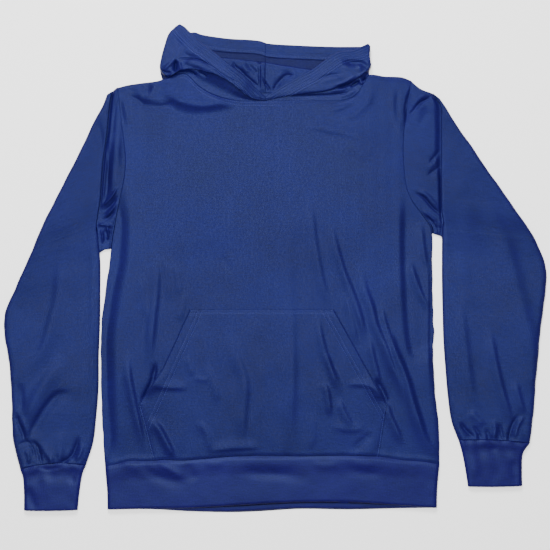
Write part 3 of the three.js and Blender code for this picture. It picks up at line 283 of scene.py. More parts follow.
CAP_LEFT_FOLDS = [
    ([(227, 304), (221, 279), (219, 261), (220, 252), (216.5, 234)], 2.6, 2.6, -3.2),
    ([(220, 254), (229, 261), (241, 275), (252, 281), (261, 288)], 2.4, 4.5, -3.4),
    ([(232, 272), (242, 284), (254, 290)], 3, 3, 1.4),
    ([(226, 256), (238, 266), (252, 274)], 4, 5, 1.2),
    ([(253, 262), (247, 249), (240, 236)], 6, 7, -1.1),
    ([(274, 196), (268, 188), (257, 175)], 2.6, 3.2, -2.4),
    ([(275, 186), (266, 176), (256, 166)], 3, 3, 1.0),
    ([(275, 171), (266, 163), (254, 155)], 2.6, 3.5, -2.4),
    ([(233, 126), (247, 118), (260, 103), (278, 87)], 1.8, 1.8, -4.4),
    ([(238, 130), (254, 120), (266, 107), (277, 98)], 3, 4, 1.7),
    ([(252, 88), (261, 76), (271, 60)], 2.2, 2.6, -3.0),
    ([(246, 96), (258, 86), (272, 76)], 2.5, 3, 1.6),
    ([(261, 73), (269, 67), (279, 66)], 2.2, 2.2, -3.4),
    ([(265, 78), (269, 67), (271, 56)], 2, 2, 2.2),
    ([(274, 80), (275, 68), (273, 58)], 1.8, 1.8, 2.0),
]
CAP_RIGHT_FOLDS = [
    ([(-264, 222), (-267, 184), (-269, 150), (-271, 124)], 12, 5, 2.8),
    ([(-279, 214), (-281, 184), (-284, 150), (-286, 122), (-289, 98)], 2.4, 2.4, 2.8),
    ([(-275, 196), (-278, 156), (-280, 126), (-284, 108)], 3, 3, -2.8),
    ([(-262, 134), (-272, 118), (-290, 101)], 3.4, 3.0, 4.0),
    ([(-261, 122), (-271, 106), (-290, 91)], 3.2, 3.2, -3.2),
    ([(-263, 108), (-272, 96), (-281, 86)], 2.6, 2.6, 3.0),
    ([(-264, 97), (-276, 85), (-290, 79)], 2.6, 2.6, -3.2),
    ([(-298, 71), (-284, 73), (-268, 68)], 2.0, 2.4, 4.2),
    ([(-281, 71), (-277.5, 61), (-278, 50), (-284, 55)], 2, 2, 4.0),
    ([(-270, 68), (-272, 54), (-275, 40)], 2, 2, 3.2),
    ([(-290, 66), (-287, 54), (-287, 42)], 2.2, 2.2, 2.6),
    ([(-256, 250), (-260, 205), (-261, 165)], 4, 7, 1.0),
    ([(-264, 284), (-268, 250), (-272, 214)], 4, 5, -1.2),
    ([(-284, 64), (-281, 54), (-282, 44)], 2, 2, -3.0),
    ([(-274, 62), (-275, 52), (-279, 42)], 2, 2, -3.0),
]

# ------------------------------------------------------------------ sleeve sections
# at: height on the armhole, or of the inner fold below it. fold x, y: inner edge. outer x, y.
# pleat: share of the tuck under the sleeve head.
SLEEVE_RIGHT = [
    (300.5, -271, 294, -280, 288, 1), (284, -274, 274, -287, 270, 1),
    (262, -276, 259, -298, 250, 1), (229, -279, 227, -318, 209, 1),
    (189, -285, 187, -342, 160, 1), (151, -288, 150, -364, 118, 1), (118, -290, 117, -381, 84, 1),
    (84, -294, 86, -398, 46, 0.7), (46, -294, 50, -413, 10, 0), (10, -291, 10, -431, -30, 0),
    (-40, -291, -40, -447.5, -68, 0), (-90, -291.5, -90, -451.5, -100, 0),
    (-145, -293.5, -145, -444.5, -146, 0), (-200, -294, -200, -439, -202, 0),
    (-250, -298, -250, -438, -252, 0), (-290, -303, -290, -434.5, -294, 0),
    (-328, -315, -328, -424.5, -334, 0),
]
SLEEVE_LEFT = [
    (311, 262, 291, 275, 281, 1), (285, 275, 270, 288, 262, 1), (255, 276, 244, 308, 230, 1),
    (225, 276, 215, 330, 199, 1), (190, 276, 180, 353, 165, 1), (158, 276, 148, 374, 135, 1),
    (128, 276.5, 120, 394, 107, 1), (98, 277, 93, 414, 78, 0.8), (66, 278, 64, 432, 50, 0),
    (25, 278, 25, 449, 10, 0), (-20, 278, -20, 451.5, -30, 0), (-70, 279, -70, 445, -78, 0),
    (-120, 280.5, -120, 440, -126, 0), (-170, 284, -170, 435.5, -176, 0),
    (-215, 288, -215, 432, -220, 0), (-255, 294, -255, 428.5, -260, 0),
    (-286, 305.5, -286, 424, -291, 0),
]
# Cuff sections: down, inner x, y, outer x, y, bow of the section's line.
CUFF_RIGHT = [
    (0, -315, -328, -424.5, -334, 7), (0.2, -320.5, -342, -420, -347, 6),
    (0.6, -325.5, -372, -418, -375, 2), (1, -328.5, -402, -418, -403, -1),
]
CUFF_LEFT = [
    (0, 305.5, -286, 424, -291, 3), (0.26, 311, -306, 413, -308, 3),
    (0.63, 316.5, -334, 411, -334, 2), (1, 321, -363, 411.5, -362, -1),
]

# ------------------------------------------------------------------ hood sections
# Wing sections from the neck's centre to the peak: edge x, y, rim x, y, roll (how far the
# cloth runs before it rolls over), seat, crown, rest (heights), wrap (1 where the edge is a
# fold to the layer underneath instead of the neck seam).
WING_RIGHT = [
    (-16.3, 278.4, -16.4, 285, 1, 10.9, 13, 12.5, 0),
    (-42, 278.4, -31, 298, 6, 10.9, 15.5, 14.8, 0),
    (-68, 282.4, -47, 314, 19, 10.9, 19.8, 18.4, 0),
    (-92, 290.4, -62, 327, 29, 10.9, 22, 20, 0),
    (-118, 302.4, -78, 339, 32, 10.9, 22.4, 20.4, 0),
    (-132, 312.4, -90, 349, 25, 10.9, 21.6, 19.8, 0),
    (-146, 320.4, -101, 358, 14, 10.9, 19.5, 18.5, 0),
    (-162, 323.6, -111, 366, 7, 11, 18.5, 17.5, 0),
    (-178, 316, -121, 373, 3, 9, 16.5, 15, 0.4),
    (-191, 330, -130, 381, 2, 6, 15, 13, 0.8),
    (-189, 350, -138, 389, 1, 1, 12.5, 10.5, 1),
    (-183.5, 371, -145, 396, 1, 1, 10, 8, 1),
    (-177, 390, -151, 402, 1, 1, 7.5, 6, 1),
    (-165.5, 402.5, -158.5, 406.5, 0.8, 1, 4.6, 4, 1),
]
WING_LEFT = [
    (-15.7, 278.4, -15.6, 285, 1, 10.9, 13, 12.5, 0),
    (20, 279, 8, 300, 8, 10.9, 14.5, 14, 0),
    (58, 279.4, 36, 316, 13, 10.9, 15.3, 14.8, 0),
    (96, 278.4, 62, 330, 20, 10.9, 15.8, 15.3, 0),
    (122, 282.4, 81, 344, 25, 10.9, 16, 15.5, 0),
    (138, 293.4, 97, 355, 20, 10.9, 16, 15.5, 0),
    (149, 309.4, 109, 359.5, 12, 11, 15.5, 15, 0),
    (156, 321.6, 119, 360.5, 6, 11, 15, 14.5, 0),
    (157.5, 330, 128, 361.5, 3, 7, 14.5, 14, 0.6),
    (159.5, 338, 138, 365.5, 1, 3, 14, 13.4, 1),
    (157.5, 352, 146, 369, 1, 1, 13.2, 12.6, 1),
    (158.2, 369, 154.5, 373.2, 0.8, 1, 11.5, 11, 1),
]
HOOD_EDGE_RIGHT = [
    (110, -118), (125, -142), (160, -163), (220, -177), (300, -184), (330, -191.5),
    (350, -189), (371, -183.5), (390, -177), (402, -166),
]
HOOD_EDGE_LEFT = [
    (110, 86), (125, 110), (160, 131), (220, 145), (300, 152), (330, 157), (350, 157.5),
    (372, 157),
]
HOOD_RIM_TOP = [
    (-166, 402), (-150, 396), (-138, 392), (-127, 393), (-114, 389), (-85, 384.2), (-66, 382),
    (-43, 380.8), (-24, 378.6), (-12, 374.5), (31, 371.5), (96, 369), (152, 369),
]
NAPE_FOLD = [
    (-130, 353), (-89, 351), (-59, 348), (-16, 343), (16, 338), (64, 331), (108, 326),
    (140, 326),
]
WING_RIGHT_FOLDS = [
    ([(-164, 346), (-151, 348), (-133, 347), (-118, 342), (-104, 333)], 1.8, 3, -2.2),
    ([(-122, 344), (-104, 333), (-85, 320), (-66, 308), (-54, 297)], 1.8, 2.5, -1.0),
    ([(-164, 346), (-164.5, 338), (-166, 325)], 2.2, 3.6, -7),
    ([(-186, 327), (-176, 337), (-165, 345)], 3, 2.5, 1.7),
    ([(-159, 343), (-157, 334), (-155, 326)], 2.6, 3, 1.9),
    ([(-190, 329), (-181, 325), (-172, 326)], 2.2, 2.5, -3.0),
    ([(-180, 321), (-171, 316), (-164, 319)], 3, 3, -3.5),
    ([(-157, 358), (-141, 352), (-124, 347)], 3, 4, -1.3),
    ([(-149, 342), (-126, 336), (-101, 324), (-78, 310)], 4, 5, 1.0),
    ([(-157, 340), (-138, 333), (-118, 328)], 4, 4, -1.6),
    ([(-146, 329), (-138, 325), (-130, 320)], 2.5, 2.5, -3.0),
    ([(-128, 327), (-120, 322), (-112, 317)], 2.5, 3, -2.0),
    ([(-176, 362), (-166, 372), (-158, 384)], 8, 8, -0.9),
    ([(-150, 366), (-140, 358), (-128, 352)], 6, 5, 0.7),
]
WING_LEFT_FOLDS = [
    ([(112, 342), (126, 341.5), (142, 340), (157, 333)], 4.5, 5, -3.6),
    ([(134, 334), (146, 336), (158, 342)], 5, 4, 1.4),
    ([(110, 333), (128, 331), (148, 327)], 4, 4, 1.2),
    ([(70, 312), (88, 319), (112, 322)], 3, 2, -1.4),
    ([(74, 307), (92, 313), (114, 316)], 3, 4, 0.9),
    ([(98, 303), (112, 307), (122, 312), (134, 318)], 2.2, 2.5, 1.6),
    ([(104, 299), (116, 302), (124, 305), (130, 311)], 2.4, 2.4, -3.4),
    ([(125, 302), (132, 305.5), (141, 311)], 3.0, 3.2, -5.5),
    ([(140, 309), (146, 306), (151, 312)], 2, 2, 2.0),
    ([(144, 311), (152, 316), (160, 325)], 2.8, 3.0, -5.2),
    ([(136, 318), (145, 321), (154, 329)], 3, 3, 1.6),
    ([(24, 284), (40, 286), (60, 287), (96, 288.5), (118, 291), (130, 295)], 2.4, 2.6, -2.0),
    ([(90, 294), (108, 296), (122, 300)], 2, 3, 1.2),
    ([(104, 286), (120, 288), (134, 295)], 2.5, 3, 1.0),
]
NAPE_FOLDS = [
    ([(-70, 348), (-66, 335), (-58, 329), (-47, 318), (-36, 309), (-24, 300)], 3, 4.4, -3.2),
    ([(-82, 342), (-76, 332), (-64, 320), (-52, 310)], 5, 5, 1.0),
    ([(-48, 343), (-40, 334), (-33, 327), (-29, 320)], 3, 4, -1.6),
    ([(-56, 342), (-50, 332), (-42, 324)], 4, 3, 0.9),
    ([(32, 322), (18, 319), (7, 309), (-4, 295)], 4.4, 4.2, -3.8),
    ([(36, 326), (26, 312), (12, 300)], 4, 4, 1.0),
    ([(-8, 338), (6, 334), (30, 331)], 5, 5, 0.8),
    ([(-27, 345), (-24.5, 340)], 2, 2, -3.0),
    ([(-22, 318), (-17, 309), (-11, 300), (-8, 292)], 2, 2.5, -2.6),
    ([(-26.5, 338), (-26, 320), (-25, 300)], 1.4, 1.4, -1.6),
    ([(-14, 342), (-13.5, 322), (-13, 312)], 1.6, 1.6, -0.5),
    ([(-21, 340), (-20, 322), (-19, 304)], 3, 3, 1.0),
]


# ------------------------------------------------------------------ curves and relief
def lerp(a, b, t):
    """From a at t = 0 to b at t = 1."""
    return a + (b - a) * t


def smooth(t):
    """Soft step from 0 to 1."""
    t = np.clip(t, 0.0, 1.0)
    return t * t * (3.0 - 2.0 * t)


def bump(distance, width):
    """Bell curve: 1 in the middle, 0.37 at the width."""
    return np.exp(-(distance / width) ** 2)


def window(value, low, high, soft):
    """1 between low and high, with a soft step of the given width inside each of them."""
    return smooth((value - low) / soft) * smooth((high - value) / soft)


def spline(rows):
    """Smooth curve through (key, value) rows, as a function of one number or an array."""
    rows = sorted(rows)
    keys = np.array([r[0] for r in rows], float)
    values = np.array([r[1] for r in rows], float)
    n = len(rows)
    before = np.maximum(np.arange(n) - 1, 0)
    after = np.minimum(np.arange(n) + 1, n - 1)
    slopes = (values[after] - values[before]) / (keys[after] - keys[before])

    def at(key):
        k = np.clip(key, keys[0], keys[-1])
        i = np.clip(np.searchsorted(keys, k, side="right") - 1, 0, n - 2)
        span = keys[i + 1] - keys[i]
        t = (k - keys[i]) / span
        rise = t * t * (3 - 2 * t)
        start = t * (1 - t) ** 2 * span * slopes[i]
        end = t * t * (t - 1) * span * slopes[i + 1]
        return lerp(values[i], values[i + 1], rise) + start + end
    return at


def polyline(rows):
    """Straight lines through (key, value) rows."""
    keys = [r[0] for r in rows]
    values = [r[1] for r in rows]
    return lambda key: np.interp(key, keys, values)


def slant_line(rows):
    """The last straight stretch of rows, carried on past both its ends."""
    (y0, x0), (y1, x1) = rows[-2:]
    return lambda y: x0 + (x1 - x0) * (y - y0) / (y1 - y0)


def columns(table, keys):
    """Each column of a table as a spline over the keys of its rows."""
    return [spline(list(zip(keys, column))) for column in np.array(table, float).T]


def inset_from(x, y, left, right):
    """Distance in from the nearer of two side lines, each a function of y."""
    return np.minimum(x - left(y), right(y) - x)


def points(*coordinates):
    """Arrays of coordinates, stacked as the last axis of one array."""
    return np.stack(np.broadcast_arrays(*coordinates), -1)


def run_lengths(line):
    """Distance travelled along a line of points, at each of them."""
    return np.r_[0, np.cumsum(np.linalg.norm(np.diff(line, axis=0), axis=1))]


def normals(path, closed=False):
    """Unit normals of a line of points [n, 2], to its left."""
    first, last = (path[-2:-1], path[1:2]) if closed else (path[:1], path[-1:])
    padded = np.concatenate([first, path, last])
    tangent = padded[2:] - padded[:-2]
    tangent /= np.maximum(np.hypot(tangent[:, 0], tangent[:, 1]), 1e-9)[:, None]
    return points(-tangent[:, 1], tangent[:, 0])


def fine_path(path, steps=5):
    """Evenly split smooth line through control points."""
    path = np.array(path, float)
    keys = run_lengths(path)
    at = np.linspace(0, keys[-1], max(2, len(path) - 1) * steps + 1)
    return points(*(column(at) for column in columns(path, keys)))


RUN_ON = 9.0           # how many of its steps a path is carried on past its ends
CREASE_WIDTH = 4.5     # folds that are narrower than this and taller than the next are pointed
CREASE_HEIGHT = 2.0


def beside(path, x, y, reach):
    """Signed distance (left positive) and share of the length, for the places near a path."""
    line = fine_path(path)
    near = ((x > line[:, 0].min() - reach) & (x < line[:, 0].max() + reach)
            & (y > line[:, 1].min() - reach) & (y < line[:, 1].max() + reach))
    px, py = x[near], y[near]
    if px.size == 0:
        return near, px, px
    best = np.full(px.shape, 1e9)
    signed, share = np.zeros(px.shape), np.zeros(px.shape)
    last = len(line) - 1
    for i in range(last):
        ax, ay = line[i]
        dx, dy = line[i + 1] - line[i]
        size = math.hypot(dx, dy)
        t = ((px - ax) * dx + (py - ay) * dy) / size ** 2
        held = np.clip(t, -RUN_ON if i == 0 else 0.0, RUN_ON if i == last - 1 else 1.0)
        gap = np.hypot(px - ax - held * dx, py - ay - held * dy)
        side = (px - ax) * -dy + (py - ay) * dx
        closer = gap < best
        best = np.where(closer, gap, best)
        signed = np.where(closer, np.sign(side) * gap, signed)
        share = np.where(closer, (i + held) / last, share)
    return near, signed, share


def fold_height(folds, x, y):
    """Height that a table of folds adds at (x, y)."""
    x, y = np.broadcast_arrays(np.asarray(x, float), np.asarray(y, float))
    total = np.zeros(x.shape)
    for path, left, right, height in folds:
        near, signed, share = beside(path, x, y, 3 * max(left, right))
        fade = smooth((share + 0.06) / 0.36) * smooth((1.06 - share) / 0.36)
        away = np.abs(signed) / np.where(signed > 0, left, right)
        pointed = max(left, right) <= CREASE_WIDTH and abs(height) >= CREASE_HEIGHT
        total[near] += height * fade * (1.3 * np.exp(-1.5 * away) if pointed else np.exp(-away ** 2))
    return total


def step_height(steps, x, y):
    """Height lost where the cloth turns down on one side of a path."""
    x, y = np.broadcast_arrays(np.asarray(x, float), np.asarray(y, float))
    total = np.zeros(x.shape)
    for path, width, drop, side in steps:
        near, signed, share = beside(path, x, y, 90)
        fade = smooth((share + 0.02) / 0.22) * smooth((1.02 - share) / 0.12)
        turned = np.clip(signed * side / width, 0, 1)
        total[near] -= drop * fade * (turned - 0.06 * np.sin(2 * math.pi * turned))
    return total


GOLDEN_ANGLE = 2.399963


def ripple(x, y, scale, seed):
    """Slow unevenness of laid cloth, about -1 to 1, with features about `scale` mm across."""
    total = np.zeros(np.broadcast(x, y).shape)
    for i in range(6):
        angle = GOLDEN_ANGLE * (i + 1) + seed
        k = (1.0 + 0.37 * i) * math.pi / scale
        phase = 1.7 * i + 4.1 * seed
        wobble = 1.3 * np.sin((x * math.sin(angle) - y * math.cos(angle)) * k * 0.43 + phase)
        total = total + np.sin((x * math.cos(angle) + y * math.sin(angle)) * k + phase + wobble)
    return total / 3.2


def roll(distance):
    """Rounding from 0 at a seam to 1 at EDGE_ROLL inside it."""
    return np.sqrt(1 - (1 - np.clip(distance / EDGE_ROLL, 0, 1)) ** 2)


def side_wave(y, seed):
    """Small unevenness of a side seam, none at the armhole or the hem."""
    y = np.asarray(y, float)
    wave = 0.3 * np.sin(y * 0.11 + seed) + 0.25 * np.sin(y * 0.23 + 2.3 * seed) * np.sin(y * 0.021 + seed)
    return wave * smooth((34 - y) / 40) * smooth((y + 318) / 20)


def left_edge(y):
    """Left edge of the body as it is seen: the wearer's right side."""
    return spline(LEFT_EDGE)(y) + side_wave(y, 1.0)


def right_edge(y):
    """Right edge of the body as it is seen, with a pucker in its seam."""
    return spline(RIGHT_EDGE)(y) + side_wave(y, 2.6) + (1.6 * bump(y + 104, 7) - 1.0 * bump(y + 128, 7))


front_top, back_top, hem = spline(FRONT_TOP), spline(BACK_TOP), spline(HEM)
pocket_left, pocket_right = polyline(POCKET_LEFT), polyline(POCKET_RIGHT)
slant_left, slant_right = slant_line(POCKET_LEFT), slant_line(POCKET_RIGHT)
rim_top, nape_fold = spline(HOOD_RIM_TOP), spline(NAPE_FOLD)


# ------------------------------------------------------------------ meshes
def make_object(name, vertices, faces, material, uv=None, other=None):
    """A smooth-shaded object from millimetre vertices and quads, riding on the root.
    other is a second material and the vertices whose faces carry it."""
    mesh = bpy.data.meshes.new(name)
    mesh.vertices.add(len(vertices))
    mesh.vertices.foreach_set("co", (np.asarray(vertices, float) * MM).ravel())
    faces = np.asarray(faces, np.int32)
    mesh.loops.add(faces.size)
    mesh.loops.foreach_set("vertex_index", faces.ravel())
    mesh.polygons.add(len(faces))
    mesh.polygons.foreach_set("loop_start", np.arange(0, faces.size, faces.shape[1], dtype=np.int32))
    mesh.polygons.foreach_set("loop_total", np.full(len(faces), faces.shape[1], np.int32))
    mesh.update(calc_edges=True)
    mesh.polygons.foreach_set("use_smooth", np.ones(len(faces), bool))
    if uv is not None:
        layer = mesh.uv_layers.new(name="cloth")
        layer.data.foreach_set("uv", (np.asarray(uv, float)[faces.ravel()] * MM).ravel())
    mesh.validate()
    obj = bpy.data.objects.new(name, mesh)
    bpy.context.scene.collection.objects.link(obj)
    obj.data.materials.append(material)
    if other is not None:
        obj.data.materials.append(other[0])
        carried = np.asarray(other[1])[faces].all(axis=1)
        mesh.polygons.foreach_set("material_index", carried.astype(np.int32))
    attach(obj, "root")
    return obj


def wall(outer, inner, closed_from=None):
    """Vertices and quads of a closed wall between two grids [row, column, xyz], and which of the
    grids' points they use. Rows from closed_from on are rings, whose last point is their first."""
    rows, cols = outer.shape[:2]
    open_rows = rows if closed_from is None else closed_from
    vertices = np.concatenate([outer.reshape(-1, 3), inner.reshape(-1, 3)])
    ids = np.arange(2 * rows * cols).reshape(2, rows, cols)
    ids[:, open_rows:, -1] = ids[:, open_rows:, 0]
    o, n = ids

    def quads(a, b, c, d):
        return np.stack([a.ravel(), b.ravel(), c.ravel(), d.ravel()], axis=1)
    faces = [
        quads(o[:-1, :-1], o[:-1, 1:], o[1:, 1:], o[1:, :-1]),
        quads(n[:-1, :-1], n[1:, :-1], n[1:, 1:], n[:-1, 1:]),
        quads(o[0, :-1], n[0, :-1], n[0, 1:], o[0, 1:]),
        quads(o[-1, :-1], o[-1, 1:], n[-1, 1:], n[-1, :-1]),
    ]
    if open_rows > 0:
        last = min(open_rows, rows - 1)
        side, above = slice(0, last), slice(1, last + 1)
        faces.append(quads(o[side, 0], o[above, 0], n[above, 0], n[side, 0]))
        faces.append(quads(o[side, -1], n[side, -1], n[above, -1], o[above, -1]))
    faces = np.concatenate(faces)
    used = np.unique(faces)
    renumber = np.zeros(len(vertices), np.int32)
    renumber[used] = np.arange(len(used))
    vertices = vertices[used]
    faces = renumber[faces]
    a, b, c, d = (vertices[faces[:, i]] for i in range(4))
    volume = (a * np.cross(b, c)).sum() + (a * np.cross(c, d)).sum()
    if volume < 0:
        faces = faces[:, ::-1]
    return vertices, faces, used


def wall_object(name, outer, inner, material, slot, uv, closed_from=None, other=None):
    """The wall as an object, with the same cloth coordinates on both of its faces."""
    vertices, faces, used = wall(outer, inner, closed_from)
    both = np.concatenate([uv.reshape(-1, 2), uv.reshape(-1, 2)])[used]
    if other is not None:
        other = (other[0], np.concatenate([other[1].ravel(), other[1].ravel()])[used])
    return make_object(name, vertices, faces, material, both, other)


def sheet_object(name, under, thickness, material, slot, other=None):
    """A wall of cloth over a grid of underside points."""
    top = under.copy()
    top[..., 2] += thickness
    return wall_object(name, top, under, material, slot, under[..., :2], other=other)


def crisp(shares, tiny):
    """Shares 0..1 with one more narrow step at each end, so that cut edges stay crisp."""
    return np.r_[0, tiny, shares[1:-1], 1 - tiny, 1]


def spread(weights, width):
    """Shares 0..1 over a width in mm, whose spacing follows the given relative spacings."""
    return crisp(np.r_[0, np.cumsum(weights)] / np.sum(weights), 0.3 / width)


# ------------------------------------------------------------------ materials
def srgb(r, g, b):
    """Linear colour from 0..255 display values."""
    return tuple((v / 255 / 12.92) if v / 255 <= 0.04045 else ((v / 255 + 0.055) / 1.055) ** 2.4
                 for v in (r, g, b)) + (1.0,)


GLOSS_TINT = (0.36, 0.555, 0.99, 1.0)
YARN_SCALE = (60.0, 520.0, 1.0)   # stretches the noise into yarns that lie across the wales
BAND_SCALE = 0.157     # scale at which one band of the wave texture is one unit wide
KNIT_DEPTH = 0.3       # of the bump, in mm


def add_node(tree, kind, inputs=(), **settings):
    """A new node, with its inputs set to a value or linked to another node's output."""
    node = tree.nodes.new("ShaderNode" + kind)
    for key, value in settings.items():
        setattr(node, key, value)
    for key, value in dict(inputs).items():
        if isinstance(value, bpy.types.NodeSocket):
            tree.links.new(value, node.inputs[key])
        else:
            node.inputs[key].default_value = value
    return node


def colour_ramp(tree, source, dark, light):
    """The source's 0..1 as a colour from dark to light."""
    ramp = add_node(tree, "ValToRGB")
    for element, colour in zip(ramp.color_ramp.elements, (dark, light)):
        element.color = colour
    tree.links.new(source, ramp.inputs["Fac"])
    return ramp.outputs["Color"]


def new_material(name):
    """A new material with its node tree and its Principled shader."""
    material = bpy.data.materials.new(name)
    material.use_nodes = True
    return material, material.node_tree, material.node_tree.nodes["Principled BSDF"]


def cloth_material(name, dark, light, wale, bump_strength, gloss, roughness):
    """Knitted cloth: wales of the given width in mm along the cloth's own grain, uneven yarn
    and a faint gloss."""
    material, tree, shader = new_material(name)
    shader.inputs["Roughness"].default_value = roughness
    shader.inputs["Specular IOR Level"].default_value = gloss
    shader.inputs["Specular Tint"].default_value = GLOSS_TINT
    plane = add_node(tree, "UVMap", uv_map="cloth").outputs["UV"]
    drawn = add_node(tree, "Mapping", {"Scale": YARN_SCALE, "Vector": plane}).outputs["Vector"]

    def noise(scale, detail, source):
        inputs = {"Scale": scale, "Detail": detail, "Vector": source}
        return add_node(tree, "TexNoise", inputs).outputs["Fac"]

    def bands(direction, pitch, distortion):
        inputs = {"Scale": BAND_SCALE / (pitch * MM), "Distortion": distortion, "Detail": 2.0,
                  "Detail Scale": 1.2, "Vector": plane}
        return add_node(tree, "TexWave", inputs, wave_type="BANDS",
                        bands_direction=direction).outputs["Fac"]

    def weighted(value, weight, base):
        inputs = {0: value, 1: weight, 2: base}
        return add_node(tree, "Math", inputs, operation="MULTIPLY_ADD").outputs[0]

    dye = noise(9.0, 3.0, plane)
    yarn = noise(1.0, 2.0, drawn)
    fleck = noise(430.0, 3.0, plane)
    fibre = noise(900.0, 2.0, plane)
    shade = weighted(fleck, 1.3, weighted(yarn, 1.1, dye))
    even = add_node(tree, "MapRange", {"From Min": 1.1, "From Max": 2.3, "Value": shade})
    tree.links.new(colour_ramp(tree, even.outputs["Result"], dark, light), shader.inputs["Base Color"])

    knit = weighted(bands("Y", wale * 0.75, 3.0), 0.3, bands("X", wale, 4.0))
    height = weighted(fibre, 0.9, weighted(fleck, 1.6, knit))
    relief = add_node(tree, "Bump", {"Strength": bump_strength, "Distance": KNIT_DEPTH * MM,
                                     "Height": height})
    tree.links.new(relief.outputs["Normal"], shader.inputs["Normal"])
    return material


def thread_material():
    """Sewing thread, a little lighter than the cloth, with a fine twist."""
    material, tree, shader = new_material("thread")
    shader.inputs["Roughness"].default_value = 0.6
    twist = add_node(tree, "TexNoise", {"Scale": 900.0}).outputs["Fac"]
    colour = colour_ramp(tree, twist, srgb(28, 38, 102), srgb(48, 60, 130))
    tree.links.new(colour, shader.inputs["Base Color"])
    return material


JERSEY = cloth_material("jersey", srgb(8, 5, 39), srgb(18, 13, 75),
                        wale=0.9, bump_strength=0.42, gloss=0.178, roughness=0.44)
# Inside of the hood beyond its hem: the wrong side of the jersey, made darker than the outside as painted
# shade of the hood's hollow.
JERSEY_INSIDE_PAINTED_SHADE = cloth_material("jersey_inside_painted_shade", srgb(8, 5, 36), srgb(18, 12, 64),
                               wale=1.1, bump_strength=0.45, gloss=0.13, roughness=0.5)
RIBBING = cloth_material("ribbing", srgb(9, 3, 44), srgb(20, 9, 77),
                         wale=1.3, bump_strength=0.2, gloss=0.162, roughness=0.44)
THREAD = thread_material()


# ------------------------------------------------------------------ body
def back_underside(x, y):
    """Flat, but carried up over the hood's hidden layers."""
    outside_x = np.maximum(np.maximum(HOOD_SIDES[0] - x, x - HOOD_SIDES[1]), 0)
    outside_y = np.maximum(HOOD_BAG_FLOOR - y, 0)
    down = smooth((np.hypot(outside_x, outside_y) - BACK_RAMP[0]) / BACK_RAMP[1])
    return OVER_BAG * (1 - down)


def front_underside(x, y, mouths=False):
    """Flat in the middle, turned down at the side seams, and level with the seams elsewhere.
    mouths adds the hollows under the pocket's openings."""
    from_side = inset_from(x, y, left_edge, right_edge)
    on_armhole = smooth((y - ARMHOLE_Y) / ARMHOLE_SOFT)
    turned = lerp(roll(from_side), 1 - (1 - np.clip(from_side / 15, 0, 1)) ** 2, on_armhole)
    sideways = lerp(0.9 * on_armhole, 1.0, turned)
    upward = roll(front_top(x) - y)
    at_neck = NECK_RISE * window(x, *NECK_SIDES, NECK_SOFT)
    relief = fold_height(BODY_FOLDS, x, y) + step_height(BODY_STEPS, x, y)
    relief = relief + 0.25 * ripple(x, y, 90, 0.3) + hem_gathers(x, y)
    if mouths:
        relief = relief + fold_height(MOUTH_TROUGHS, x, y)
    floor = back_underside(x, y) + CLOTH + SEAM_GAP
    over_hood = OVER_BAG * smooth((y + 60) / 230) * window(x, *HOOD_SPAN, 110)
    spanned = over_hood + CLOTH + SEAM_GAP + BODY_LOFT + relief
    air = np.maximum(spanned - floor, LEAST_AIR)
    return floor + sideways * (upward * air + (1 - upward) * at_neck)


def hem_gathers(x, y):
    """Small uneven fullness where the body is drawn in to the waistband."""
    above = y - hem(x)
    wave = np.sin(x * 0.21 + 1.3 * np.sin(x * 0.043)) + 0.6 * np.sin(x * 0.127 + 2.0)
    bulge = 0.7 * bump(above - 4, 4)
    return 0.3 * wave * np.exp(-np.maximum(above, 0) / 22) + bulge


def panel_plan(top_line, across, along):
    """Plan points of a body panel, from hem to shoulders and neckline."""
    u = across[None, :]
    y_top = np.full(u.shape, SHOULDER_Y)
    for _ in range(12):
        y_top = top_line(lerp(left_edge(y_top), right_edge(y_top), u))
    y_hem = hem(lerp(left_edge(HEM_Y), right_edge(HEM_Y), u))
    y = lerp(y_hem, y_top, along[:, None])
    x = lerp(left_edge(y), right_edge(y), u)
    return x, y


def make_body():
    """Front and back panels. The front's grid is finer where it has edges and narrow folds."""
    width, length = BODY_SIZE
    n = np.arange(214)
    across = spread(1.0 - 0.25 * smooth((n - 120) / 50) - 0.5 * (n < 10) - 0.4 * (n > 203)
                    - 0.15 * smooth((60 - n) / 20) - 0.4 * bump(n - 37, 9)
                    - 0.3 * bump(n - 176, 8), width)
    n = np.arange(226)
    along = spread(1.0 + 0.25 * smooth((n - 100) / 60) - 0.5 * smooth((n - 190) / 14)
                   - 0.6 * (n < 6) - 0.3 * (n > 216), length)
    x, y = panel_plan(front_top, across, along)
    from_edge = np.minimum(inset_from(x, y, left_edge, right_edge), front_top(x) - y)
    z = front_underside(x, y, mouths=True)
    plain = window(x, -14, 150, 16) * smooth((y - 250) / 10)
    thickness = CLOTH - 0.3 * (1 - roll(from_edge * 8)) * (1 - plain)
    top = points(x, y, z + thickness)
    near_neck = smooth((x - NECK_SIDES[0]) / NECK_SOFT) * smooth((30 - x) / 30)
    for row in NECK_STITCH:
        top[..., 2] -= 0.24 * near_neck * bump(front_top(x) - y - row, 1.5)
    under = points(x, y, z)
    front = wall_object("front", top, under, JERSEY, "jersey", under[..., :2])
    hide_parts("front_panel")
    n = np.arange(80)
    across = spread(1.0 - 0.6 * (np.minimum(n, 79 - n) < 10), width)
    x, y = panel_plan(back_top, across, spread(np.ones(90), length))
    back = sheet_object("back", points(x, y, back_underside(x, y)), CLOTH, JERSEY, "jersey")
    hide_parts("back_panel")


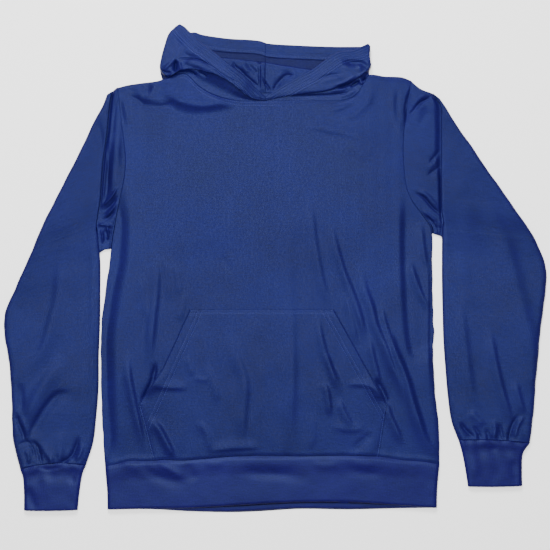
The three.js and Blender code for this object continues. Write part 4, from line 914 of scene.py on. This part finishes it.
# ------------------------------------------------------------------ pocket
def pocket_relief(x, y):
    """Height of the pocket's underside over the front panel's outer face."""
    inset = inset_from(x, y, pocket_left, pocket_right)
    slant = np.clip((y - POCKET_CORNER) / (POCKET_TOP - POCKET_CORNER), 0, 1)
    on_mouth = smooth((y - POCKET_CORNER + 4) / 20)
    widest = np.where(x < 0, 0.22, 0.13)
    opened = bump(slant - widest, 0.11) + 0.06 * np.sin(math.pi * slant)
    gape = MOUTH_GAPE * opened * bump(inset, 16) * on_mouth
    loose = smooth((y - POCKET_CORNER - 10) / 30)
    inside = (smooth((inset + EDGE_ROLL * loose) / EDGE_ROLL) * smooth((POCKET_TOP - y) / EDGE_ROLL)
              * smooth((y - hem(x)) / EDGE_ROLL))
    relief = fold_height(POCKET_FOLDS, x, y) + 0.2 * ripple(x, y, 60, 1.1)
    return 0.1 + gape + inside * np.maximum(0.9 + relief, 0.0)


def front_outside(x, y):
    """Height of the front panel's outer face."""
    return front_underside(x, y) + CLOTH


def make_pocket():
    """The pocket, lying on the front panel, with its hems, grooves and gaping openings."""
    n = np.arange(180)
    ends = np.minimum(n, 179 - n)
    across = spread(0.2 + 0.8 * smooth((ends - 2) / 14), 380)
    n = np.arange(132)
    along = spread(0.25 + 0.75 * smooth((131 - n - 2) / 12) * smooth((n + 3) / 6), 245)
    u, v = across[None, :], along[:, None]
    y = lerp(hem(lerp(POCKET_LEFT[0][1], POCKET_RIGHT[0][1], u)) + 0.3, POCKET_TOP, v)
    x = lerp(pocket_left(y), pocket_right(y), u)
    z = front_outside(x, y) + pocket_relief(x, y)
    inset = inset_from(x, y, pocket_left, pocket_right)
    from_slant = inset_from(x, y, slant_left, slant_right)
    below = POCKET_TOP - y
    turned = 0.4 * (1 - smooth((from_slant - 21.5) / 3))
    turned = np.maximum(turned, 0.4 * (1 - smooth((below - 8) / 2)))
    on_slant = y > POCKET_CORNER
    from_edge = np.minimum(below, np.where(on_slant, inset, 99))
    groove = np.where(on_slant & (inset < below), 2.9, 1.9) * bump(from_edge - 1.1, 0.75)
    groove += bump(below - POCKET_STITCH, 1.4)
    for row in MOUTH_STITCH:
        groove += bump(from_slant - row, 1.5)
    groove += bump(inset - SIDE_STITCH, 1.4) * smooth((POCKET_CORNER - y) / 4)
    rounded = roll(np.minimum(inset, below) * 10)
    thickness = (POCKET_CLOTH + turned) * lerp(0.45, 1, rounded) - 0.35 * groove
    pocket = sheet_object("pocket_panel", points(x, y, z), thickness, JERSEY, "jersey")
    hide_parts("pocket")


# ------------------------------------------------------------------ rib
def rib_section(low, high, fold, inset, steps, turn_steps):
    """Closed section of a flat rib tube: places from low to high over the top, round the fold
    and back underneath, with their heights."""
    run = lerp(low, high, np.linspace(0, 1, steps))
    angle = math.pi / 2 - math.pi * np.linspace(0, 1, turn_steps)[1:-1]
    out = fold * np.cos(angle)
    place = np.concatenate([run, high + out, run[::-1], low - out, run[:1]])
    side = BAND_TOP / 2 + (BAND_TOP / 2 - inset) * np.sin(angle)
    top, bottom = np.full(steps, BAND_TOP - inset), np.full(steps, inset)
    return place, np.concatenate([top, side, bottom, side[::-1], top[:1]])


def on_upper(z):
    """0 on the lower layer of a rib tube and 1 on its upper one."""
    return np.clip((z / BAND_TOP - 0.2) / 0.6, 0, 1)


def rib_rounding(from_seam, down):
    """Height that a rib tube loses at its seam and over its edge."""
    from_edge = np.maximum(1 - down, 0) * RIB_HEIGHT
    return -0.4 * (1 - roll(from_seam * 8)) - 0.7 * (1 - roll(from_edge * 4))


def rib_object(name, loop, levels, measured, axes):
    """A doubled rib tube from loop(share of its height down, inset). Its width is measured on
    one of its loops, along the given axes."""
    levels = crisp(np.linspace(0, 1, levels), 0.004)
    outer, inner = (np.array([loop(d, inset) for d in levels]) for inset in (0.0, RIB))
    around = run_lengths(outer[measured][:, axes])
    uv = points(around[None, :], levels[:, None] * RIB_HEIGHT)
    return wall_object(name, outer, inner, RIBBING, "rib", uv, closed_from=0)


def make_waistband():
    """The waistband, with a shelf of fullness just below its seam."""
    band_front, band_back, band_left, band_right = (
        spline(rows) for rows in (BAND_FRONT, BAND_BACK, BAND_LEFT, BAND_RIGHT))

    def loop(down, inset):
        fold = 6 - inset * 0.6
        left = band_left(down) + inset * 0.4 + fold
        right = band_right(down) - inset * 0.4 - fold
        x, z = rib_section(left, right, fold, inset, 200, 12)
        share = on_upper(z)
        y_front = lerp(hem(x) - CLOSE_GAP, band_front(x), down)
        y = lerp(lerp(hem(x) - CLOSE_GAP, band_back(x), down), y_front, share)
        far = hem(x) - y_front
        shelf = 1.45 * smooth((far - 1) / 5) * (1 - smooth((far - 11) / 22))
        shelf = shelf * (0.75 + 0.35 * np.sin(x * 0.034 + 2.4))
        relief = shelf + fold_height(BAND_FOLDS, x, y_front) + 0.12 * ripple(x, y, 50, 2.2)
        z = z + share * (relief + rib_rounding(far, down))
        return points(x, y, z)
    band = rib_object("waistband_rib", loop, 36, 0, [0, 2])
    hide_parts("waistband")


def bowed(bow, share, z):
    """How far a section's line bows down at a share of its width: less on the lower layer."""
    return bow * 4 * share * (1 - share) * lerp(0.25, 1.0, np.clip(z / BAND_TOP, 0, 1))


def make_cuff(name, node, table, folds):
    """One cuff: a doubled rib tube that lies flat."""
    at_table = columns(table, [row[0] for row in table])

    def loop(down, inset):
        _, ix, iy, ox, oy, bow = (float(c(down)) for c in at_table)
        gap = CLOSE_GAP * max(0, 1 - down * 10)
        inner, outer = np.array([ix, iy - gap]), np.array([ox, oy - gap])
        width = float(np.hypot(*(outer - inner)))
        along = (outer - inner) / width
        fold = 7 - inset * 0.7
        start = inset * 0.5 + fold
        s, z = rib_section(start, width - start, fold, inset, 60, 14)
        x = inner[0] + along[0] * s
        y = inner[1] + along[1] * s + bowed(bow, s / width, z)
        far = down * RIB_HEIGHT
        crease = 0.4 * np.sin(s * 0.16 + 0.6) + 0.3 * np.sin(s * 0.31 + 1.0)
        relief = fold_height(folds, x, y) + crease * math.exp(-far / 18) + 0.2 * ripple(x, y, 35, 4.4)
        dip = 0.5 * bump(far - 7, 6) - 0.5 * bump(far - 20, 9)
        z = z + on_upper(z) * (dip + rib_rounding(far, down) + relief)
        return points(x, y, z)
    cuff = rib_object(name, loop, 44, 20, [0, 1, 2])
    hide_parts(node)


# ------------------------------------------------------------------ sleeves
CAP_SEAM_Z = 6.1       # middle line of the sleeve at the armhole seam
TUCK_Z = 2.3           # and where it turns in under the fold
TURN_Z, TURN_RADIUS = 3.9, 1.5   # the tuck's inner end
ROLL_Z = 5.6           # underside of the sleeve's rolled inner edge
RECESS_Z = 3.1         # lowest that the armhole's recess may sink
DEEPEST = 3.4          # deepest trough on top of a sleeve
WEB_Z = (2.1, 3.6)     # rise of the web below the underarm, from its tip to the tube
# How wide the sleeve head's fall into the tuck is: (height on the armhole, width).
CAP_FALL = {
    -1: [(32, 20), (84, 24), (118, 24), (151, 18), (190, 10), (215, 6), (250, 6), (300, 7)],
    1: [(58, 5), (120, 5), (160, 5), (175, 8), (195, 12), (240, 11), (272, 13), (309, 8)],
}
WEB_DROP = {-1: 9.0, 1: 5.0}       # how far below the underarm the web reaches
SHOULDER_SAG = {-1: 0.0, 1: 4.0}
STEPS = {"cap": 36, "turn": 6, "roll": 8, "top": 56, "outer": 8, "back": 10}
TOP_FROM = STEPS["cap"] + STEPS["turn"] + STEPS["roll"]
TOP_TO = TOP_FROM + STEPS["top"]


def pleated_path(width, reach, top, fall_width):
    """Middle line (s, z) of a section with its pleat, from the armhole seam."""
    roll_x, outer_x = min(5, width * 0.3), min(9, width * 0.35)
    tuck = max(min(PLEAT, width - outer_x - 3), roll_x + 0.6)
    t = np.r_[0, min(0.3 / max(reach, 1), 0.01), np.linspace(0, 1, STEPS["cap"] - 1)[1:]]
    fall = max(0.3, 1 - fall_width / max(reach, 1))
    drop = smooth((t - fall) / (1 - fall))
    swell = 0.5 * np.sin(math.pi * np.minimum(t / fall, 1))
    cap_z = CAP_SEAM_Z + swell - (CAP_SEAM_Z - TUCK_Z) * drop
    cap = points(lerp(-reach, -0.5, t), cap_z)
    a = np.linspace(-math.pi / 2, math.pi / 2, STEPS["turn"])
    turned = points(tuck + TURN_RADIUS * np.cos(a), TURN_Z + TURN_RADIUS * np.sin(a))
    middle = (ROLL_Z + top) / 2
    a = np.linspace(0, math.pi, STEPS["roll"])
    rolled = points(roll_x - (roll_x - HALF) * np.sin(a), middle - (top - middle) * np.cos(a))
    return finish_path([cap, turned, rolled], roll_x, width, outer_x, reach, top)


def plain_path(width, reach, top):
    """Middle line of a flattened tube, with a web that reaches to the underarm."""
    roll_x = min(9, width * 0.35)
    middle = (HALF + top) / 2

    def ellipse(z):
        off_middle = (z - middle) / (top - HALF) * 2
        return roll_x - (roll_x - HALF) * np.sqrt(np.maximum(0, 1 - off_middle ** 2))
    web = smooth(reach / 8)
    t = np.linspace(0, 1, STEPS["cap"])
    z = lerp(*WEB_Z, t)
    s = ellipse(z) - reach * (1 - t)
    s[0] = lerp(ellipse(WEB_Z[0]), HALF, web) - reach
    cap = points(s, z)
    start = math.asin((WEB_Z[1] - middle) / (top - HALF) * 2)
    a = np.linspace(start, math.pi / 2, STEPS["turn"] + STEPS["roll"] + 1)[1:]
    rolled = points(roll_x - (roll_x - HALF) * np.cos(a), middle + (top - HALF) / 2 * np.sin(a))
    return finish_path([cap, rolled], roll_x, width, roll_x, reach, top)


def finish_path(parts, roll_x, width, outer_x, reach, top):
    """The parts carried on over the top, round the outer edge and back to the seam underneath."""
    t = np.linspace(0, 1, STEPS["top"] + 1)[1:]
    upper = points(lerp(roll_x, width - outer_x, t), top)
    a = np.linspace(math.pi / 2, -math.pi / 2, STEPS["outer"] + 1)[1:]
    side = points(width - outer_x + (outer_x - HALF) * np.cos(a),
                  (top + HALF) / 2 + (top - HALF) / 2 * np.sin(a))
    t = np.linspace(0, 1, STEPS["back"] + 1)[1:]
    s = np.where(t < 0.8, lerp(width - outer_x, 0, t / 0.8), -reach * (t - 0.8) / 0.2)
    back = points(s, HALF)
    return np.concatenate(parts + [upper, side, back])


def sleeve_section(seam, fold, outer, pleat, is_open, bow, end, sag, fall_width, raised):
    """Outer and inner points of one sleeve section, before its folds."""
    width = float(np.hypot(*(outer - fold)))
    reach = float(np.hypot(*(seam - fold)))
    top = lerp(SLEEVE_TOP, RIB + RIB_LOFT + RIB - HALF, end) + raised
    path = plain_path(width, reach, top)
    if is_open:
        pleated = pleated_path(width, reach, top, fall_width)
        mixed = lerp(path, pleated, pleat)
        path = np.concatenate([pleated[:1], mixed[1:-STEPS["back"]], pleated[-STEPS["back"]:]])
    else:
        path[-1] = path[0]
        if reach < 1:
            path[-2] = (path[0][0] * 0.5, (HALF + WEB_Z[0]) / 2)
    normal = normals(path, closed=not is_open)
    along = (outer - fold) / width
    back = (seam - fold) / reach if reach > 0.01 else -along
    sides = []
    for offset in (HALF, -HALF):
        s = path[:, 0] + normal[:, 0] * offset
        z = path[:, 1] + normal[:, 1] * offset
        direction = np.where(s[:, None] >= 0, along, -back)
        plan = fold + direction * s[:, None]
        share = np.clip(s / width, 0, 1)
        y = plan[:, 1] + bowed(bow, share, z)
        y = y - sag * np.sin(math.pi * np.clip(-s / max(reach, 1), 0, 1) ** 1.2)
        sides.append(points(plan[:, 0], y, z))
    return sides


def sleeve_grids(table, edge, end_bow, outward):
    """Outer and inner faces of a sleeve before its folds, and how many of its rows lie on the
    armhole. outward is the sign of x on the sleeve's side."""
    at_table = columns(table, [row[0] for row in table])
    cap_fall = polyline(CAP_FALL[outward])
    underarm, top_at, end_at = UNDERARM[outward], table[0][0], table[-1][0]
    upper = np.linspace(top_at, underarm, 128)
    share = np.linspace(0, 1, 124)[1:]
    lower = lerp(underarm, end_at, 0.6 * share + 0.4 * (1 - (1 - share) ** 2))
    sides = []
    for i, at in enumerate(np.concatenate([upper, lower])):
        on_armhole = i < len(upper)
        is_open = i < len(upper) - 1
        _, fold_x, fold_y, outer_x, outer_y, pleat = (float(c(at)) for c in at_table)
        fold, outer = np.array([fold_x, fold_y]), np.array([outer_x, outer_y])
        uneven = 0.35 * math.sin(at * 0.083 + outward) + 0.2 * math.sin(at * 0.19 + 2 * outward)
        outer = outer + outward * np.array([uneven, 0.0]) * smooth((top_at - at) / 40)
        level = at if on_armhole else underarm
        seam = np.array([edge(level) + outward * CLOSE_GAP, level])
        if not on_armhole:
            web = max(0.0, 1 - (underarm - at) / WEB_DROP[outward])
            seam = lerp(fold, seam, web ** 1.3)
        down = (underarm - at) / (underarm - end_at)
        bow = end_bow * smooth((down - 0.6) / 0.4)
        end = smooth((down - 0.86) / 0.14)
        sag = SHOULDER_SAG[outward] * smooth(1 - (top_at - at) / 30)
        raised = 1.8 * smooth((at - underarm + 60) / 190)
        sides.append(sleeve_section(seam, fold, outer, smooth(pleat), is_open, bow, end, sag,
                                    cap_fall(at), raised))
    return [np.array([pair[k] for pair in sides]) for k in (0, 1)], len(upper)


def fold_sleeve(grids, on_armhole, folds, cap_folds):
    """Lay the folds into both faces of a sleeve: on its top, and in the recess at its armhole."""
    rows, count = grids[0].shape[:2]
    index = np.arange(count)[None, :]
    to_end = (np.arange(rows) - on_armhole) / (rows - on_armhole)
    near_cuff = smooth((to_end[:, None] - 0.86) / 0.12)
    on_top = smooth((index - TOP_FROM + 8) / 10) * smooth((TOP_TO + 10 - index) / 12)
    along_cap = np.clip(index / (STEPS["cap"] - 1), 0, 1)
    on_cap = np.where(index < STEPS["cap"], np.sin(math.pi * along_cap) ** 0.3, 0.0)
    x, y, z = np.moveaxis(grids[0], -1, 0)
    cap_relief = on_cap * np.maximum(fold_height(cap_folds, x, y), RECESS_Z - z)
    for grid in grids:
        x, y = grid[..., 0], grid[..., 1]
        gathers = (0.7 * np.sin(x * 0.33 + 1.7 * np.sin(x * 0.07)) + 0.4) * near_cuff
        relief = fold_height(folds, x, y) + 0.25 * ripple(x, y, 70, 3.3) + gathers
        raised = grid[..., 2] + on_top * np.maximum(relief, -DEEPEST) + cap_relief
        grid[..., 2] = np.maximum(raised, 0.0)


def make_sleeve(name, node, table, edge, folds, cap_folds, end_bow, outward):
    """A sleeve: its head is open towards the body, and below the underarm it is a closed tube."""
    grids, on_armhole = sleeve_grids(table, edge, end_bow, outward)
    fold_sleeve(grids, on_armhole, folds, cap_folds)
    across = np.array([run_lengths(row) for row in grids[0]])
    down = run_lengths(grids[0][:, TOP_FROM + STEPS["top"] // 2])
    uv = points(across - across[:, -1:] / 2, down[:, None])
    sleeve = wall_object(name, *grids, JERSEY, "jersey", uv, closed_from=on_armhole - 1)
    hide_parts(node)
    return sleeve


def make_sleeves():
    """Both sleeves, each on its own armhole."""
    right = make_sleeve("right_sleeve", "sleeve_right", SLEEVE_RIGHT, left_edge, SLEEVE_RIGHT_FOLDS,
                        CAP_RIGHT_FOLDS, CUFF_RIGHT[0][5], -1)
    left = make_sleeve("left_sleeve", "sleeve_left", SLEEVE_LEFT, right_edge, SLEEVE_LEFT_FOLDS,
                       CAP_LEFT_FOLDS, CUFF_LEFT[0][5], 1)


# ------------------------------------------------------------------ hood
# Grooves along the hood's front edge: (distance in from the rim, depth).
HOOD_ROWS = ((HEM_WIDTH - 1.5, 0.35), (HEM_WIDTH - 5.5, 0.35), (12.5, 0.25), (8.5, 0.3), (4.5, 0.3))
WING_LIFT = {-1: 9.6, 1: 1.2}      # how far the cloth stands up from the neck seam


def path_through(controls, count):
    """Even points on a smooth curve through control points [n, 2]."""
    controls = np.asarray(controls, float)
    steps = np.sqrt(np.maximum(np.hypot(*np.diff(controls, axis=0).T), 0.05))
    keys = np.r_[0, np.cumsum(steps)]
    fine = np.linspace(0, keys[-1], count * 6)
    s, z = (column(fine) for column in columns(controls, keys))
    length = run_lengths(points(s, z))
    even = np.linspace(0, length[-1], count)
    return points(np.interp(even, length, s), np.interp(even, length, z))


def wing_section(row, rise, count=112):
    """Middle line and directions of one section of the hood's front."""
    ex, ey, rx, ry, roll_at, seat, crown, rest, wrap = row
    edge, rim = np.array([ex, ey]), np.array([rx, ry])
    width = float(np.hypot(*(rim - edge)))
    along = (rim - edge) / width
    free = np.clip(roll_at / 12, 0, 1) * (1 - wrap)
    shoulder = min(6.0 - 3.2 * wrap, width * 0.3)
    lift = min(rise * free, crown - seat - 1.8)
    seam_points = np.array([
        (0, seat), (roll_at * 0.35, seat - 0.02 * lift), (roll_at * 0.75, seat + 0.5 * lift),
        (roll_at + 3 * free, seat + lift), (roll_at - 0.4, max(crown - 3.0, seat + lift + 0.8)),
        (roll_at + 1.0, crown - 0.8), (roll_at + shoulder, crown),
    ])
    under = min(8.0, width * 0.4)
    wrap_points = np.array([
        (under, HALF), (under * 0.6, HALF), (under * 0.3, HALF + 0.3), (under * 0.12, HALF + 1.0),
        (HALF * 0.7, (HALF + crown) / 2), (shoulder * 0.35, crown - 1.2), (shoulder, crown),
    ])
    start = lerp(seam_points, wrap_points, wrap)
    to_rim = width - start[-1][0]
    path = path_through(np.concatenate([start, [
        (start[-1][0] + to_rim * 0.35, lerp(crown, rest, 0.2)),
        (start[-1][0] + to_rim * 0.7, lerp(crown, rest, 0.6)),
        (width, rest),
    ]]), count)
    from_rim = run_lengths(path[::-1])[::-1]
    return path, normals(path), from_rim, edge, along, width


def make_wing(name, table, folds, rise):
    """One front edge of the hood, from the neck seam over its roll to the rim with its hem."""
    at_table = columns(table, range(len(table)))
    rows = crisp(np.linspace(0, 1, 172), 0.001) * (len(table) - 1)
    grids, distance = ([], []), []
    for r in rows:
        row = [float(c(r)) for c in at_table]
        on_seam = row[-1] < 0.02
        if on_seam:
            row[1] = float(front_top(row[0])) + CLOSE_GAP
        row[-1] = min(max(row[-1], 0), 1)
        path, normal, from_rim, edge, along, width = wing_section(row, rise)
        hemmed = (1 - smooth((from_rim - HEM_WIDTH) / 2)) * np.clip((width - 6) / 34, 0, 1)
        groove = sum(deep * bump(from_rim - d, 1.2) for d, deep in HOOD_ROWS)
        rounded = 0.5 * (1 - roll(from_rim * 6))
        for grid, side in zip(grids, (1, -1)):
            relief = 0.35 * hemmed - groove - rounded if side > 0 else rounded - TURNED_HEM * hemmed
            offset = HALF * side + relief
            s = path[:, 0] + normal[:, 0] * offset
            z = path[:, 1] + normal[:, 1] * offset
            grid.append(np.concatenate([edge + along * s[:, None], z[:, None]], 1))
        distance.append(from_rim)
    outer, inner = (np.array(grid) for grid in grids)
    from_seam = np.linspace(0, 1, outer.shape[1])
    for grid in (outer, inner):
        x, y, z = grid[..., 0], grid[..., 1], grid[..., 2]
        relief = fold_height(folds, x, y) + 0.3 * ripple(x, y, 40, 5.5)
        grid[..., 2] += np.maximum(relief, -0.8 * z) * smooth(from_seam / 0.05)
    distance = np.array(distance)
    uv = points(distance, run_lengths(outer[:, -1])[:, None])
    return wall_object(name, outer, inner, JERSEY, "jersey", uv), outer, distance


def rim_wave(x, y):
    """Unevenness of the hood's back rim on the surface."""
    return 0.6 + 0.5 * ripple(x, y, 45, 6.6)


def make_hood_floor(name, edge_table, middle_x):
    """The layer on the surface: the rim's turned hem above, the hidden bag below."""
    edge = spline(edge_table)
    top_edge = edge_table[-1][1]
    u = crisp(np.linspace(0, 1, 70) ** 1.3, 0.002)[None, :]
    fold_y = nape_fold(lerp(edge(HOOD_TURN_Y), middle_x, u))
    rim_y = rim_top(lerp(top_edge, middle_x, u))
    low = np.linspace(HOOD_BAG_FLOOR, HOOD_BAG_TOP, 30)[:, None] + 0 * u
    mid = lerp(HOOD_BAG_TOP, fold_y - 4, np.linspace(0, 1, 10)[1:, None])
    high = lerp(fold_y - 4, rim_y, np.linspace(0, 1, 36)[1:, None])
    y = np.concatenate([low, mid, high])
    x = lerp(edge(y), middle_x, u)
    from_rim = rim_y - y
    inset = np.abs(x - edge(y))
    bag = 1 - smooth((y - (fold_y - 7)) / 5)
    thick = lerp(CLOTH, HOOD_BAG - 0.1, bag)
    rounded = (1 - roll(inset + 2)) + bag * (1 - roll(y - HOOD_BAG_FLOOR + 2))
    thick = thick - (thick - 1.2) * rounded
    turned = TURNED_HEM * (1 - smooth((from_rim - HEM_WIDTH) / 1.6)) * (1 - bag)
    groove = sum(bump(from_rim - d, 1.5) for d in (HEM_WIDTH - 2, HEM_WIDTH - 8)) * (1 - bag)
    edge_soft = smooth((from_rim + 0.5) / 3)
    lift = rim_wave(x, y) * (1 - bag) * edge_soft
    seam = 0.5 * bump(x - HOOD_SEAM_X, 1.2)
    thickness = thick + turned * lerp(0.5, 1, edge_soft) - 0.35 * groove + np.maximum(lift, 0) - seam
    under = points(x, y, 0.0)
    # Faces beyond the turned hem carry the darker inside cloth: the wrong side of the jersey, with
    # painted shade standing in for the shade of the hood's hollow.
    return sheet_object(name, under, thickness, JERSEY, "jersey",
                        (JERSEY_INSIDE_PAINTED_SHADE, from_rim > HEM_WIDTH - 0.5))


def make_nape(name, end_x, middle_x):
    """From the back neckline up to the fold where the hood turns down behind."""
    xs = lerp(end_x, middle_x, crisp(np.linspace(0, 1, 94), 0.003))
    grids = ([], [])
    for x in xs:
        y0, y1 = float(back_top(x)) + SEAM_GAP * 2, float(nape_fold(x))
        path = path_through([
            (y0, HOOD_BAG + 1.7), (lerp(y0, y1, 0.35), HOOD_BAG + 3.2),
            (lerp(y0, y1, 0.75), HOOD_BAG + 3.9), (y1 - 3, HOOD_BAG + 3.2),
            (y1 - HALF, HOOD_BAG + 0.6), (y1 - 2.5, HOOD_BAG - 1.4),
        ], 72)
        normal = normals(path)
        on_top = smooth(normal[:, 1] * 2) * smooth(np.linspace(0, 1, len(path)) / 0.1)
        for grid, side in zip(grids, (HALF, -HALF)):
            grid.append(points(x, path[:, 0] + normal[:, 0] * side,
                               path[:, 1] + normal[:, 1] * side, on_top))
    outer, inner = (np.array(grid) for grid in grids)
    for grid in (outer, inner):
        x, y = grid[..., 0], grid[..., 1]
        relief = np.clip(fold_height(NAPE_FOLDS, x, y) + 0.3 * ripple(x, y, 30, 7.7), -2.6, 2.5)
        strip = smooth((x - STRIP_X) / 1.2) * (x < HOOD_SEAM_X)
        seam = 0.4 * bump(x - HOOD_SEAM_X, 0.9)
        grid[..., 2] += grid[..., 3] * (relief + 0.7 * strip - seam)
    outer, inner = outer[..., :3], inner[..., :3]
    return wall_object(name, outer, inner, JERSEY, "jersey", outer[..., :2])


def make_hood():
    """Both halves of the hood. Returns the outer face of each front edge, with the distances of
    its points from the rim."""
    fronts = []
    for side, word, table, folds, edge_table, end_x, area in (
            (-1, "right", WING_RIGHT, WING_RIGHT_FOLDS, HOOD_EDGE_RIGHT, -128.0, 0.0175),
            (1, "left", WING_LEFT, WING_LEFT_FOLDS, HOOD_EDGE_LEFT, 124.0, 0.016)):
        middle_x = HOOD_SEAM_X + side * 0.005
        wing, outer, distance = make_wing(f"hood_{word}_front", table, folds, WING_LIFT[side])
        floor = make_hood_floor(f"hood_{word}_behind", edge_table, middle_x)
        nape = make_nape(f"hood_{word}_nape", end_x, middle_x)
        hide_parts(f"hood_{word}")
        fronts.append((outer, distance))
    return fronts


# ------------------------------------------------------------------ stitching
STITCH_PITCH, STITCH_LENGTH, THREAD_WIDTH = 3.2, 2.3, 0.55
# A thread's section (across in widths, height), and its size and lift at start, middle and end.
THREAD_RING = ((0, 0.32), (0.5, 0.12), (0.5, -0.12), (0, -0.2), (-0.5, -0.12), (-0.5, 0.12))
THREAD_SIZES = ((0.45, -0.12), (1.0, 0.12), (0.45, -0.12))


def stitches(name, lines):
    """Short threads lying along each line of points, as one joined mesh."""
    vertices, faces = [], []
    sides = len(THREAD_RING)
    for line in lines:
        length_at = run_lengths(line)
        for start in np.arange(0.6, length_at[-1] - STITCH_LENGTH, STITCH_PITCH):
            centres = [np.array([np.interp(start + d, length_at, line[:, k]) for k in range(3)])
                       for d in (0, STITCH_LENGTH * 0.5, STITCH_LENGTH)]
            forward = centres[2] - centres[0]
            forward /= np.linalg.norm(forward)
            sideways = np.cross((0, 0, 1), forward)
            sideways /= max(np.linalg.norm(sideways), 1e-6)
            ids = len(vertices) + np.arange(3 * sides).reshape(3, sides)
            for centre, (size, lift) in zip(centres, THREAD_SIZES):
                for a, b in THREAD_RING:
                    vertices.append(centre + sideways * a * THREAD_WIDTH * size + (0, 0, b * size + lift))
            for low, high in zip(ids, ids[1:]):
                faces.extend(points(low, np.roll(low, -1), np.roll(high, -1), high))
            for cap in (ids[0][::-1], ids[2]):
                faces.extend((cap[[0, 1, 2, 3]], cap[[0, 3, 4, 5]]))
    return make_object(name, vertices, faces, THREAD)


def pocket_outside(x, y):
    """Height of the pocket's outer face."""
    return front_outside(x, y) + pocket_relief(x, y) + POCKET_CLOTH


def make_stitching(fronts):
    """Every row of topstitching, lying just on the cloth under it."""
    y = np.full(120, POCKET_TOP - POCKET_STITCH)
    x = np.linspace(pocket_left(y[0]) + 3, pocket_right(y[0]) - 3, 120)
    lines = [points(x, y, pocket_outside(x, y) + 0.3)]
    for row in MOUTH_STITCH:
        y = np.linspace(POCKET_TOP - 3, POCKET_CORNER - 2 * row, 120)
        for x in (slant_left(y) + row, slant_right(y) - row):
            on_cloth = inset_from(x, y, pocket_left, pocket_right) > 1.5
            lines.append(points(x, y, pocket_outside(x, y))[on_cloth])
    y = np.linspace(POCKET_CORNER - 2, -316.0, 60)
    for x in (pocket_left(y) + SIDE_STITCH, pocket_right(y) - SIDE_STITCH):
        lines.append(points(x, y, pocket_outside(x, y)))
    for row in NECK_STITCH:
        x = np.linspace(-158, 10, 160)
        y = front_top(x) - row
        lines.append(points(x, y, front_outside(x, y) - 0.1))
    x = np.linspace(-132, 128, 240)
    for away in (HEM_WIDTH - 1.2, HEM_WIDTH - 3.2):
        z = CLOTH + 1.6 + rim_wave(x, rim_top(x) - away)
        lines.append(points(x, rim_top(x) - away - 0.6 * np.sin(x * 2.1), z))
    for outer, distance in fronts:
        for away in (HEM_WIDTH - 1.5, HEM_WIDTH - 6):
            line = []
            for section, d in zip(outer, distance):
                if d[0] > away + 6:
                    line.append([np.interp(away, d[::-1], section[::-1, k]) for k in range(3)])
            lines.append(np.array(line) + (0, 0, 0.1))
    stitches("topstitching", lines)


# ------------------------------------------------------------------ build
make_body()
make_pocket()
make_waistband()
make_sleeves()
make_cuff("right_cuff_rib", "cuff_right", CUFF_RIGHT, CUFF_RIGHT_FOLDS)
make_cuff("left_cuff_rib", "cuff_left", CUFF_LEFT, CUFF_LEFT_FOLDS)
make_stitching(make_hood())


# ------------------------------------------------------------------ surroundings
def make_floor():
    """A wide pale surface, half a millimetre under the garment."""
    material, _, shader = new_material("floor")
    shader.inputs["Base Color"].default_value = (0.98, 0.98, 0.98, 1)
    shader.inputs["Roughness"].default_value = 0.9
    reach = 6.0
    corners = [(x * reach, y * reach, 0) for x, y in ((-1, -1), (1, -1), (1, 1), (-1, 1))]
    mesh = bpy.data.meshes.new("floor")
    mesh.from_pydata(corners, [], [(0, 1, 2, 3)])
    floor = bpy.data.objects.new("floor", mesh)
    floor.location.z = -0.5 * MM
    mesh.materials.append(material)
    bpy.context.scene.collection.objects.link(floor)


def area_light(name, location, size, power):
    """A round soft light that faces the middle of the garment."""
    light = bpy.data.lights.new(name, "AREA")
    light.shape = "DISK"
    light.size = size
    light.energy = power
    obj = bpy.data.objects.new(name, light)
    obj.location = location
    obj.rotation_euler = (-Vector(location)).to_track_quat("-Z", "Y").to_euler()
    bpy.context.scene.collection.objects.link(obj)


def make_world(strength):
    """Even white light from all round."""
    world = bpy.data.worlds.new("studio")
    world.use_nodes = True
    background = world.node_tree.nodes["Background"]
    background.inputs["Color"].default_value = (1, 1, 1, 1)
    background.inputs["Strength"].default_value = strength
    bpy.context.scene.world = world


VIEW_WIDTH = 2750 / 3 * MM     # of the square that the camera sees, in metres
CAMERA_AT = (0.0, -0.0112, 3.0)


def make_camera():
    """Straight above, framed so that the garment's outline nearly fills the square."""
    data = bpy.data.cameras.new("camera")
    data.sensor_width = 36.0
    data.lens = data.sensor_width * CAMERA_AT[2] / VIEW_WIDTH
    camera = bpy.data.objects.new("camera", data)
    camera.location = CAMERA_AT
    bpy.context.scene.collection.objects.link(camera)
    bpy.context.scene.camera = camera


make_floor()
area_light("key", (-0.35, 2.2, 1.9), size=1.0, power=110)
area_light("overhead", (-0.25, 0.35, 3.6), size=1.1, power=208)
make_world(strength=0.37)
make_camera()
